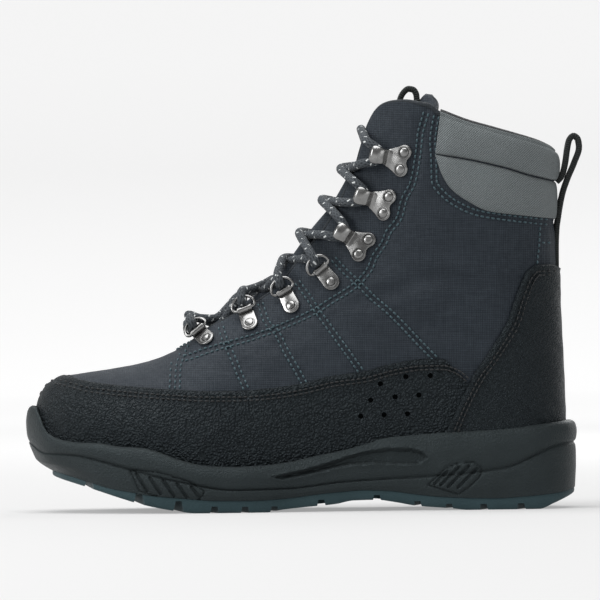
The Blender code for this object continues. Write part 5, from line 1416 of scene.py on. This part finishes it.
# Raised pads that hold the slashes: corners of the outline in millimetres
PODS = (
    ((-99.0, 24.5), (-94.0, 13.0), (-78.0, 8.5), (-60.0, 8.0), (-57.5, 12.5), (-66.0, 18.0), (-84.0, 23.5)),
    ((70.6, 14.6), (75.7, 19.1), (80.5, 23.8), (88.2, 26.8), (95.9, 26.8), (100.1, 23.7), (99.7, 19.9),
     (94.0, 14.2), (87.2, 9.4), (78.6, 12.0)),
)


def distance_round(places, outline):
    """Distance from each place to a closed outline."""
    return distance_to_line(places, np.vstack([outline, outline[:1]]))


def side_relief(x, z):
    """Recess, slashes and raised pads of the midsole's side, as depth into it."""
    places = np.stack([x, z], axis=-1)
    scallop = side_points(SCALLOP)
    inside = inside_outline(places, scallop)
    away = distance_round(places, scallop)
    depth = np.where(inside, soft_step(away, 0.0, 2.2 * MM), 0.0) * SCALLOP_DEPTH
    depth -= 0.45 * MM * bell(away - 0.3 * MM, 1.1 * MM) * ~inside
    for corners in PODS:
        outline = in_metres(corners)
        inside = inside_outline(places, outline)
        away = distance_round(places, outline)
        depth -= np.where(inside, soft_step(away, 0.0, 1.6 * MM), 0.0) * 0.35 * MM
        depth += np.where(inside, 0.0, bell(away, 0.9 * MM)) * 0.8 * MM
    for at, height, length, lean in SLASHES:
        centre = np.array([float(x_at(at)), height * SHAFT_HEIGHT])
        way = np.array([math.cos(math.radians(lean)), math.sin(math.radians(lean))])
        reach = way * (length - SLASH_WIDTH) / 2.0
        away = distance_to_line(places, np.stack([centre - reach, centre + reach]))
        depth += SLASH_DEPTH * (1.0 - soft_step(away, 0.45 * SLASH_WIDTH, 0.95 * SLASH_WIDTH))
    return depth


def midsole_inset(t, tuck):
    """How far the side lies inside the outline: 0 at the seam, 0.5 at the groove, 1 at the rim."""
    low = np.interp(t, (0.0, 0.21, 0.43, 0.5), (1.0, 0.35, 0.10, 0.0))
    extra = smooth_curve((0.0, 0.21, 0.40, 0.47, 0.50, 0.53, 0.60, 0.75, 0.90, 0.97, 1.0),
                         (0.0, 0.2, 0.45, 1.0, 1.9, 1.1, 0.35, 0.0, 0.75, 2.0, 3.6))
    return tuck * low + extra(t) * MM


def make_midsole(look):
    """Loops from the sole's seam to its rim, with the foot's space cut out."""
    points, normals = sole_outline(MIDSOLE_STEP)
    stretches = ((0.0, 0.44, 24), (0.44, 0.56, 12), (0.56, 0.90, 17))
    steps = np.concatenate([np.linspace(*stretch, endpoint=False) for stretch in stretches]
                           + [np.linspace(0.90, 1.0, 9)])
    tuck = tuck_curve(share_at(points[:, 0])) * BALL_WIDTH
    loops = []
    for t in steps:
        inset = midsole_inset(np.full(len(points), t), tuck)
        x = points[:, 0] - normals[:, 0] * inset
        low, middle, high = seam_line(x), groove_line(x), rim_line(x)
        z = np.where(t < 0.5, low + (middle - low) * t * 2.0, middle + (high - middle) * (t * 2.0 - 1.0))
        inset = inset + side_relief(x, z) * (1.0 if 0.0 < t < 0.98 else 0.0)
        loops.append(np.column_stack([points - normals * inset[:, None], z]))
    item = sole_block("midsole_body", np.array(loops), look)
    cut_away(item, cup_block())
    shade_by_angle(item.data, 42.0)
    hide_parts("midsole")
    return item


def sole_block(name, loops, look):
    """A solid from loops round the sole, closed rung by rung at both ends."""
    count = loops.shape[1]
    faces = grid_faces(len(loops), count, wrap=True).tolist()
    for start, turned in ((0, False), ((len(loops) - 1) * count, True)):
        half = count // 2
        rungs = [[start, start + 1, start + count - 1]]
        for i in range(1, half - 1 + count % 2):
            rungs.append([start + i, start + i + 1, start + count - i - 1, start + count - i])
        if count % 2 == 0:
            rungs.append([start + half - 1, start + half, start + half + 1])
        faces += [rung[::-1] if turned else rung for rung in rungs]
    item = object_of(name, loops.reshape(-1, 3), faces, look)
    face_outward(item)
    return item


def cup_block():
    """The space in the midsole that the foot's form and its overlays fill."""
    rows = evenly_spread_rows(FIRST_ROW, CUP_TOP_ROW, 110, turn=0.8)
    lift = 4.0 * GAP + RAND_THICKNESS
    grids = []
    for side in (OUTER, INNER):
        turn = np.linspace(0.0, 1.0, 60)[None, :]
        grids.append(lifted_point(rows[:, None], turn, side, np.full((len(rows), 60), lift)))
    low = rows < CLOSED_BACK_ROW
    for grid in grids:
        grid[low, -1, 2] = foot_bed(grid[low, -1, 0])
    first, faces = welded_sheet(grids)
    mesh = bpy.data.meshes.new("cup_cutter")
    mesh.from_pydata(all_points(grids)[first].tolist(), [], faces)
    work = bmesh.new()
    work.from_mesh(mesh)
    rim = [edge for edge in work.edges if edge.is_boundary]
    bmesh.ops.holes_fill(work, edges=rim, sides=0)
    bmesh.ops.triangulate(work, faces=[face for face in work.faces if len(face.verts) > 4])
    bmesh.ops.recalc_face_normals(work, faces=work.faces)
    if work.calc_volume(signed=True) < 0.0:
        bmesh.ops.reverse_faces(work, faces=work.faces)
    work.to_mesh(mesh)
    work.free()
    return linked("cup_cutter", mesh)


def make_outsole(look):
    """Loops from the ground to the sole's seam, cut into lugs."""
    points, normals = sole_outline(OUTSOLE_STEP)
    if len(points) % 2:
        points, normals = points[:-1], normals[:-1]
    tuck = tuck_curve(share_at(points[:, 0])) * BALL_WIDTH
    loops = []
    for share, extra in ((0.0, 1.6), (0.08, 0.9), (0.2, 0.5), (0.55, 0.35), (0.8, 0.4), (1.0, 0.5)):
        inset = tuck + extra * MM
        x = points[:, 0] - normals[:, 0] * inset
        low, high = ground_line(x), seam_line(x) - 0.5 * GAP
        loops.append(np.stack([x, points[:, 1] - normals[:, 1] * inset, low + (high - low) * share], axis=1))
    item = sole_block("outsole_body", np.array(loops), look)
    cut_grooves(item, lug_grooves())
    cut_grooves(item, lug_slits())
    shade_by_angle(item.data, 30.0)
    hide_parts("outsole")
    return item


def lug_grooves():
    """Bars for the grooves that part the lugs, swept back from the middle to both sides."""
    work = bmesh.new()
    for at, sweep in CROSS_GROOVES:
        x = float(x_at(at))
        depth = min(LUG_DEPTH, 0.5 * float(seam_line(x) - ground_line(x)))
        top = float(ground_line(x)) + depth
        for side in (OUTER, INNER):
            groove_bar(work, x, side * LUG_GROOVE_SIDE, top, LUG_GROOVE_WIDTH, LUG_GROOVE_LENGTH,
                       -side * sweep)
    return work


def lug_slits():
    """Bars for the short slits across each lug."""
    work = bmesh.new()
    for at, _ in CROSS_GROOVES:
        x = float(x_at(at + 0.030))
        top = float(ground_line(x)) + SLIT_DEPTH
        for side in (OUTER, INNER):
            groove_bar(work, x, side * SLIT_SIDE, top, SLIT_WIDTH, SLIT_LENGTH, side * SLIT_TURN)
    return work


def groove_bar(work, x, y, top, width, length, sweep):
    """A bar with sloped sides, narrower at the groove's bottom."""
    turn = Matrix.Rotation(math.radians(sweep), 4, "Z")
    move = Matrix.Translation((x, 0.0, top)) @ turn @ Matrix.Translation((0.0, y, 0.0))
    corners = [(sx * width * (0.36 if up else 0.9), sy * length / 2.0, 0.0 if up else -0.012)
               for up in (False, True) for sx, sy in ((-1, -1), (1, -1), (1, 1), (-1, 1))]
    verts = [work.verts.new(move @ Vector(corner)) for corner in corners]
    for face in ((0, 1, 2, 3), (7, 6, 5, 4), (0, 4, 5, 1), (1, 5, 6, 2), (2, 6, 7, 3), (3, 7, 4, 0)):
        work.faces.new([verts[k] for k in face])


def cut_grooves(item, work):
    bmesh.ops.recalc_face_normals(work, faces=work.faces)
    cut_away(item, linked("groove_cutter", mesh_of("groove_cutter", work)))


# Fittings
def fitting_frames(table):
    """Frames with X across, Y towards the throat and Z out of the canvas, at each rivet.

    The inner side takes the rows and turns of the outer one, on its own outline.
    """
    frames = {}
    for k, (rivet_x, rivet_z, head_x, head_z) in enumerate(table):
        rivet = find_on_form(float(x_at(rivet_x)), rivet_z * SHAFT_HEIGHT, OUTER)
        head = find_on_form(float(x_at(head_x)), head_z * SHAFT_HEIGHT, OUTER)
        for side, label in SIDES:
            origin = Vector(form_point(*rivet, side))
            out = Vector(form_normal(*rivet, side))
            towards = Vector(form_point(*head, side)) - origin
            towards = (towards - out * towards.dot(out)).normalized()
            turn_matrix = Matrix((towards.cross(out), towards, out)).transposed().to_4x4()
            frames[(k + 1, label)] = Matrix.Translation(origin + out * FITTING_LIFT) @ turn_matrix
    return frames


def circle_points(centre, radius, sides):
    angles = [2 * math.pi * k / sides for k in range(sides)]
    return [(centre[0] + radius * math.cos(angle), centre[1] + radius * math.sin(angle)) for angle in angles]


def close_rings(work, rings):
    """Faces between rings of corners, and a cap at each end."""
    for before, after in zip(rings, rings[1:]):
        for k in range(len(before)):
            n = (k + 1) % len(before)
            work.faces.new((before[k], before[n], after[n], after[k]))
    work.faces.new(rings[0][::-1])
    work.faces.new(rings[-1])


def rivet_solid(work, centre, low, width):
    """A round head: a flat rim with a sunk ring and a domed middle."""
    sides = 28
    profile = ((1.42, 0.0), (1.42, 0.00030), (1.34, 0.00052), (1.18, 0.00050), (1.10, 0.00006),
               (1.02, 0.00004), (1.01, 0.00070), (0.92, 0.00102), (0.60, 0.00124), (0.26, 0.00132))
    rings = []
    for share, height in profile:
        ring = circle_points(centre, width / 2.0 * share, sides)
        rings.append([work.verts.new((x, y, low + height)) for x, y in ring])
    top = work.verts.new((*centre, low + 0.00134))
    for before, after in zip(rings, rings[1:]):
        for k in range(sides):
            n = (k + 1) % sides
            work.faces.new((before[k], before[n], after[n], after[k]))
    for k in range(sides):
        work.faces.new((rings[-1][k], rings[-1][(k + 1) % sides], top))
    work.faces.new(rings[0][::-1])


def plate_solid(work, outline, thickness):
    """A plate with softened edges."""
    outline = np.array(outline, float)
    inward = unit(outline.mean(axis=0) - outline)
    rings = []
    for shrink, z in ((0.0, 0.0), (0.0, 0.65), (0.00018, 0.92), (0.00040, 1.0)):
        rings.append([work.verts.new((x, y, thickness * z)) for x, y in outline + inward * shrink])
    close_rings(work, rings)


def arc_points(centre, radius, start, end, count):
    angles = [math.radians(start + (end - start) * k / (count - 1)) for k in range(count)]
    return [(centre[0] + radius * math.cos(a), centre[1] + radius * math.sin(a)) for a in angles]


def mirrored(points):
    """The same points on the other side of the middle, in turned order."""
    return [(-x, y) for x, y in reversed(points)]


def clip_solid(work):
    """A folded plate whose fold wraps the ring's bar, with a domed rivet."""
    half = CLIP_WIDTH / 2.0
    edge = [(half * 0.96, BAR_REACH)]
    edge += [(half * (0.90 + 0.10 * (k / 5.0)), BAR_REACH * (1 - k / 5.0)) for k in range(1, 5)]
    plate_solid(work, edge + arc_points((0.0, 0.0), half, 0.0, -180.0, 22) + mirrored(edge), CLIP_PLATE)
    rivet_solid(work, (0.0, 0.0), CLIP_PLATE * 0.9, CLIP_RIVET_WIDTH)
    eye_half = half * 0.94
    bar_radius = RING_WIRE / 2.0 + GAP + EYE_WALL
    rings = []
    for x in np.linspace(-eye_half, eye_half, 41):
        swell = 1.0 - 0.25 * max(0.0, (abs(x) - eye_half * 0.9) / eye_half * 8.0)
        rings.append([work.verts.new((x, y, z))
                      for y, z in circle_points((BAR_REACH, BAR_HEIGHT), bar_radius * swell, 24)])
    close_rings(work, rings)


def ring_path():
    """A D-ring's wire: straight through the clip, then a leaning bow."""
    half, corner = RING_WIDTH / 2.0, 0.0021
    lean = math.radians(22.0)
    flat = [(x, 0.0) for x in np.linspace(-half + corner, half - corner, 12)]
    flat += arc_points((half - corner, corner), corner, -80.0, -5.0, 6)
    flat += [(half * math.cos(math.radians(a)), corner + (RING_REACH - corner) * math.sin(math.radians(a)))
             for a in np.linspace(6.0, 174.0, 30)]
    flat += arc_points((-half + corner, corner), corner, 185.0, 260.0, 6)
    return [(x, BAR_REACH + y * math.cos(lean), BAR_HEIGHT + y * math.sin(lean)) for x, y in flat]


# The hook's neck and lip, from the side: distance past the head and height over the canvas
HOOK_NECK = ((-0.0038, 0.0006), (-0.0014, 0.0011), (-0.0004, 0.0030), (0.0006, 0.0052), (0.0030, 0.0069),
             (0.0060, 0.0073), (0.0074, 0.0066))
# Its width along the way, as a share of the head's
HOOK_NECK_WIDTHS = ((0.0, 1.02), (0.2, 0.98), (0.42, 0.92), (0.6, 0.98), (0.8, 1.10), (0.93, 1.02),
                    (1.0, 0.76))


def hook_solid(work):
    """A plate with two riveted lobes, and a neck that flares into a rounded lip."""
    lobe, pitch, neck = HOOK_LOBE * 0.58, HOOK_RIVET_PITCH / 2.0, HOOK_HEAD_WIDTH / 2.0
    edge = [(neck * 1.00, HOOK_HEAD_REACH - 0.0006), (neck * 1.18, HOOK_HEAD_REACH - 0.0028),
            (neck * 1.52, lobe * 1.05)]
    edge += arc_points((pitch, 0.0), lobe, 28.0, -122.0, 16) + [(0.9 * MM, -lobe * 0.60)]
    plate_solid(work, edge + mirrored(edge), HOOK_PLATE)
    for x in (-pitch, pitch):
        rivet_solid(work, (x, 0.0), HOOK_PLATE * 0.9, HOOK_RIVET_WIDTH)
    line = even_line(np.array(HOOK_NECK) + (HOOK_HEAD_REACH, 0.0), 0.0005)
    widths = smooth_curve(*zip(*HOOK_NECK_WIDTHS))(np.linspace(0.0, 1.0, len(line)))
    angle = circle_angles(28)
    off = HOOK_PLATE / 2.0 * squared_off(np.sin(angle), 0.7)
    rings = []
    for (y, z), (ty, tz), share in zip(line, unit(np.gradient(line, axis=0)), widths):
        across = neck * share * squared_off(np.cos(angle), 0.5)
        cup = -0.0011 * (across / neck) ** 2 * min(1.0, max(0.0, (z - 0.003) / 0.003))
        rings.append([work.verts.new(corner) for corner in zip(across, y - tz * off, z + ty * off + cup)])
    close_rings(work, rings)


def fitting_mesh(name, build, look):
    work = bmesh.new()
    build(work)
    bmesh.ops.recalc_face_normals(work, faces=work.faces)
    mesh = mesh_of(name, work)
    mesh.materials.append(look)
    shade_by_angle(mesh, 40.0)
    return mesh


def place_copy(name, mesh, frame, node):
    item = linked(name, mesh.copy())
    item.data.transform(frame)
    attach(item, "root")
    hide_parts(node)
    return item


def make_fittings(look):
    clip = fitting_mesh("clip", clip_solid, look)
    hook = fitting_mesh("hook", hook_solid, look)
    ring = hoop_mesh("ring_pattern", ring_path(), RING_WIRE / 2.0 * 1.1, look, sides=16)
    rings, hooks = fitting_frames(RINGS), fitting_frames(HOOKS)
    for (number, label), frame in rings.items():
        place_copy(f"clip_{label}_{number}", clip, frame, f"lace_clip_{label}_{number}")
        place_copy(f"ring_{label}_{number}", ring, frame, f"d_ring_{label}_{number}")
    for (number, label), frame in hooks.items():
        place_copy(f"hook_{label}_{number}", hook, frame, f"speed_hook_{label}_{number}")
    return rings, hooks


# Lace
def world(frame, x, y, z):
    return np.array(frame @ Vector((x, y, z)))


def fitting_pass(rings, hooks, level, label):
    """Points of the lace at one fitting, from the strand below to the strand above."""
    up = 1.0 if label == "outer" else -1.0
    if level <= len(RINGS):
        frame = rings[(level, label)]
        bow, height = BAR_REACH + RING_REACH * 0.93, BAR_HEIGHT + RING_REACH * 0.37
        local = ((-1.6, bow + 0.0030, height - 0.0044), (-0.5, bow - 0.0024, height - 0.0022),
                 (0.5, bow - 0.0026, height + 0.0010), (1.6, bow + 0.0028, height + 0.0006))
    else:
        frame = hooks[(level - len(RINGS), label)]
        neck = HOOK_HEAD_REACH + 0.0028
        local = ((-6.6, neck + 0.0098, 0.0030), (-4.4, neck + 0.0036, 0.0031), (-2.0, neck + 0.0004, 0.0031),
                 (2.0, neck + 0.0004, 0.0031), (4.4, neck + 0.0036, 0.0031), (6.6, neck + 0.0098, 0.0030))
    return [world(frame, x * MM * up, y, z) for x, y, z in local]


def tongue_crest(place, rise):
    """A point over the throat's middle at the height of a place."""
    row, _ = find_on_form(place[0], place[2], OUTER)
    front = form_point(row, 0.0, OUTER)
    return front + form_normal(row, 0.0, OUTER) * (rise + 0.0006)


def over_crest(start, crest, end, middle, bulge):
    """Points that carry a strand from its start over a crest to its end."""
    push = (crest - middle) * bulge
    return [start * 0.5 + crest * 0.5 + push, crest, end * 0.5 + crest * 0.5 + push]


def crossing_crest(start, end, level, label):
    """The highest point of a strand on the tongue, with the inner half's strand lying on top."""
    middle = (start + end) / 2.0
    at_hooks = level > len(RINGS)
    drop = 4.5 * MM if at_hooks else 1.5 * MM
    sink = 4.6 if level == 2 else 0.0 if at_hooks else 2.0
    rise = 0.0 if label == "outer" else LACE_WIDTH * 0.70
    crest = tongue_crest(middle - np.array([0.0, 0.0, drop]), rise - sink * MM)
    crest[1] = middle[1] * 0.3
    return crest


def strand(rings, hooks, first_label):
    """One half of the lace, from the bottom bar up to its top hook. The outer half then crosses over."""
    other = {"outer": "inner", "inner": "outer"}
    label = first_label
    points = []
    levels = len(RINGS) + len(HOOKS)
    for level in range(1, levels + 1):
        here = fitting_pass(rings, hooks, level, label)
        if level == 1:
            partner = fitting_pass(rings, hooks, level, other[label])
            points.append((here[0] + partner[0]) / 2.0 + np.array([0.0015, 0.0, -0.0022]))
        else:
            last = points[-1]
            crest = crossing_crest(last, here[0], level, label)
            points += over_crest(last, crest, here[0], (last + here[0]) / 2.0, 0.06)
        points += here
        label = other[label]
    if first_label == "outer":
        last, end = points[-1], fitting_pass(rings, hooks, levels, label)[-1]
        middle = (last + end) / 2.0
        crest = tongue_crest(middle + np.array([0.0, 0.0, 6.5 * MM]), 0.0005)
        crest[1] = 0.0
        points += over_crest(last, crest, end, middle, 0.1) + [end]
    return np.array(points)


def rounded_path(points):
    """A smooth curve near the points, cut at even steps."""
    knots = [points[0]]
    for k in range(len(points) - 1):
        p0, p1, p2, p3 = (points[min(max(k + j, 0), len(points) - 1)] for j in (-1, 0, 1, 2))
        for t in np.linspace(0.0, 1.0, 13)[1:]:
            knots.append(0.5 * (2 * p1 + (p2 - p0) * t + (2 * p0 - 5 * p1 + 4 * p2 - p3) * t * t
                                + (3 * p1 - p0 - 3 * p2 + p3) * t ** 3))
    knots = np.array(knots)
    for _ in range(8):
        knots[1:-1] = (knots[:-2] + 2.0 * knots[1:-1] + knots[2:]) / 4.0
    length = length_along(knots)[-1]
    return points_at(np.linspace(0.0, length, int(length / LACE_STEP)), knots)


def braided_object(name, path, look):
    """A round braid: yarns cross over each other both ways round."""
    around = np.arange(24) / 24
    along = length_along(path)
    turned, run = around[None, :] * BRAID_YARNS, along[:, None] / BRAID_PITCH
    yarn = np.maximum(np.abs(np.sin((turned + run) * math.pi)), np.abs(np.sin((turned - run) * math.pi)))
    radius = LACE_WIDTH / 2.0 * (0.92 + 0.11 * yarn)
    rings = rings_round(unit(np.gradient(path, axis=0)), around * 2.0 * math.pi)
    lay = np.stack(np.broadcast_arrays(around[None, :], along[:, None]), axis=-1)
    return ringed_object(name, path[:, None, :] + radius[..., None] * rings, look, lay.reshape(-1, 2))


def make_lace(rings, hooks, look):
    halves = [braided_object(f"lace_half_{label}", rounded_path(strand(rings, hooks, label)), look)
              for _, label in SIDES]
    lace = joined("lace", halves)
    for number in range(1, len(RINGS) + len(HOOKS)):
        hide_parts(f"lace_crossing_{number}")
    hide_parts("lace_bar")
    return lace


# Stitching
def canvas_rows():
    """Stitch rows on the canvas: a line in millimetres and how many rows run side by side."""
    rows = [(line, 2) for line in QUILT_LINES]
    rows += [(EYESTAY_ROW, 2), (COLLAR_ROW, 2), (VAMP_ROW, 3), (BACK_ROW, 1), (BACK_BAR_ROW, 1)]
    return rows


def make_canvas_stitches(look):
    made = []
    for line, beside in canvas_rows():
        for k in range(beside):
            away = (k - (beside - 1) / 2.0) * DOUBLE_ROW
            flat = shifted_line(even_line(in_metres(line), STITCH_PITCH), away)
            for side in (OUTER, INNER):
                made.append(upper_surface(flat[:, 0], flat[:, 1], side, STITCH_LIFT))
    item = stitches("canvas_stitches", made, look)
    return item


def overlay_stitches(name, line, lift, look):
    """Rows of dark thread along an overlay's edge."""
    made = []
    for away in OVERLAY_STITCH_ROWS:
        flat = shifted_line(even_line(line, STITCH_PITCH), -away)
        for side in (OUTER, INNER):
            row, turn = find_on_form(flat[:, 0], flat[:, 1], side)
            places = lifted_point(row, turn, side, np.full(len(row), lift + STITCH_LIFT))
            made.append((places, form_normal(row, turn, side)))
    item = stitches(name, made, look, OVERLAY_STITCH_WIDTH)
    return item


# Bound edges
def throat_edge_path(side):
    """Up the throat's edge, in the middle of the wall."""
    rows = evenly_spread_rows(10.9, TOP_ROW, 260, turn=0.05)
    turn = throat_turn(rows, side)
    top = row_on_line(throat_turn(np.array([30.0]), side), side, top_edge_line)[0]
    rows = stretched_row(rows, top)
    return lifted_point(rows, turn, side, np.full(rows.shape, -UPPER_WALL * 0.5))


def top_binding_path(side):
    """Round the top edge, from the throat to the collar pad."""
    turns = np.linspace(float(throat_turn(np.array(30.0), side)), PAD_FIRST_TURN + 0.045, 120)
    rows = row_on_line(turns, side, top_edge_line)
    return lifted_point(rows, turns, side, np.full(turns.shape, -UPPER_WALL / 2.0))


def make_bindings(look):
    """A tape over each side's edge, up the throat and along the top to the collar."""
    pieces = []
    for side, label in SIDES:
        path = np.concatenate([throat_edge_path(side)[:-2], top_binding_path(side)])
        for _ in range(6):
            path[1:-1] = (path[:-2] + path[1:-1] + path[2:]) / 3.0
        pieces.append(tube_object(f"binding_{label}", path, BINDING_RADIUS, look, sides=14))
    item = joined("edge_binding", pieces)
    return item


# Camera, light and floor
def make_camera():
    """At the photograph's place: level, square to the side and rolled by half a degree."""
    distance, view_width = 4.0, 0.345
    aim_x, aim_z = -0.0019, 0.1205
    roll = math.radians(0.57)
    data = bpy.data.cameras.new("camera")
    data.sensor_width = 36.0
    data.lens = data.sensor_width * distance / view_width
    camera = linked("camera", data)
    right = Vector((math.cos(roll), 0.0, -math.sin(roll)))
    up = Vector((math.sin(roll), 0.0, math.cos(roll)))
    turn = Matrix((right, up, right.cross(up))).transposed().to_4x4()
    camera.matrix_world = Matrix.Translation((aim_x, -distance, aim_z)) @ turn
    bpy.context.scene.camera = camera


# Lamps: name, place, width and height, power in watts
LAMPS = (
    ("overhead", (-0.3, -0.1, 1.7), (1.8, 1.3), 34.0),
    ("key", (-1.9, -0.9, 1.0), (0.8, 1.0), 25.0),
    ("fill", (1.6, -1.5, 0.6), (1.0, 0.8), 5.0),
    ("back", (0.6, 1.7, 1.1), (1.3, 1.1), 15.0),
)
LAMP_TARGET = (0.0, 0.0, 0.11)
# The floor turns up into a low bowl far round the boot: reach from the middle, and height
FLOOR_PROFILE = ((0.0004, 0.0), (0.3, 0.0), (1.5, 0.0), (5.0, 0.0), (5.25, 0.015), (5.45, 0.08),
                 (5.58, 0.25), (5.6, 0.45), (5.6, 0.85))
FLOOR_SIDES = 96
SKY_STRENGTH = 0.34


def area_light(name, place_at, size, power):
    data = bpy.data.lights.new(name, "AREA")
    data.shape = "RECTANGLE"
    data.size, data.size_y = size
    data.energy = power
    light = linked(name, data)
    light.location = place_at
    light.rotation_euler = (Vector(LAMP_TARGET) - Vector(place_at)).to_track_quat("-Z", "Y").to_euler()


def make_studio():
    points = []
    for reach, z in FLOOR_PROFILE:
        points += [(x, y, z) for x, y in circle_points((0.0, 0.0), reach, FLOOR_SIDES)]
    floor = object_of("floor", points, grid_faces(len(FLOOR_PROFILE), FLOOR_SIDES, wrap=True), floor_look())
    for lamp in LAMPS:
        area_light(*lamp)
    sky = bpy.data.worlds.new("studio")
    sky.use_nodes = True
    background = sky.node_tree.nodes["Background"]
    background.inputs["Color"].default_value = (1.0, 1.0, 1.0, 1.0)
    background.inputs["Strength"].default_value = SKY_STRENGTH
    bpy.context.scene.world = sky
    bpy.context.scene.view_settings.view_transform = "Standard"


def main():
    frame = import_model()
    make_camera()
    make_studio()

    canvas = canvas_look()
    pebbled = pebbled_look()
    counter_skin = pebbled_look("black_counter", grain=1000.0, depth=0.0007)
    foam = moulded_look("charcoal_midsole", (0.0125, 0.0150, 0.0158), 0.46, 950.0, 0.0022)
    tread = moulded_look("slate_rubber", (0.0225, 0.0420, 0.0480), 0.58, 800.0, 0.0010)
    knit = knit_look()
    webbing = webbing_look()
    nickel = nickel_look()
    cord = lace_look()
    teal = thread_look()
    dark_thread = thread_look("dark_thread", (0.003, 0.004, 0.0045))
    lining = canvas_look("dark_lining", (0.010, 0.011, 0.012), (0.022, 0.024, 0.026))
    # Near-black look for the discs in the vent holes: painted shade of the holes' insides.
    vent_shade_look = moulded_look("painted_vent_shade", (0.0008, 0.0009, 0.0010), 0.9, 1800.0, 0.0002, gloss=0.05)
    trim = canvas_look("edge_tape", (0.008, 0.011, 0.014), (0.022, 0.028, 0.034))

    for slot in frame["nodes"]["insole"].material_slots:
        slot.material = lining

    make_outsole(tread)
    make_midsole(foam)
    make_upper(canvas)
    make_rand(pebbled)
    # Discs of painted shade that make the vent holes read black.
    make_vent_shade_discs(vent_shade_look)
    make_counter(counter_skin)
    make_collar(knit, lining)
    make_tongue(canvas)
    webbing_object("heel_webbing", HEEL_LOOP, webbing, "heel_loop")
    webbing_object("tongue_webbing", TONGUE_LOOP, webbing, "tongue_loop")
    rings, hooks = make_fittings(nickel)
    make_lace(rings, hooks, cord)
    make_bindings(trim)
    make_canvas_stitches(teal)
    overlay_stitches("rand_stitches", RAND_LINE, GAP + RAND_THICKNESS, dark_thread)
    overlay_stitches("counter_stitches", COUNTER_LINE[:-1], COUNTER_LIFT + COUNTER_THICKNESS, dark_thread)


main()
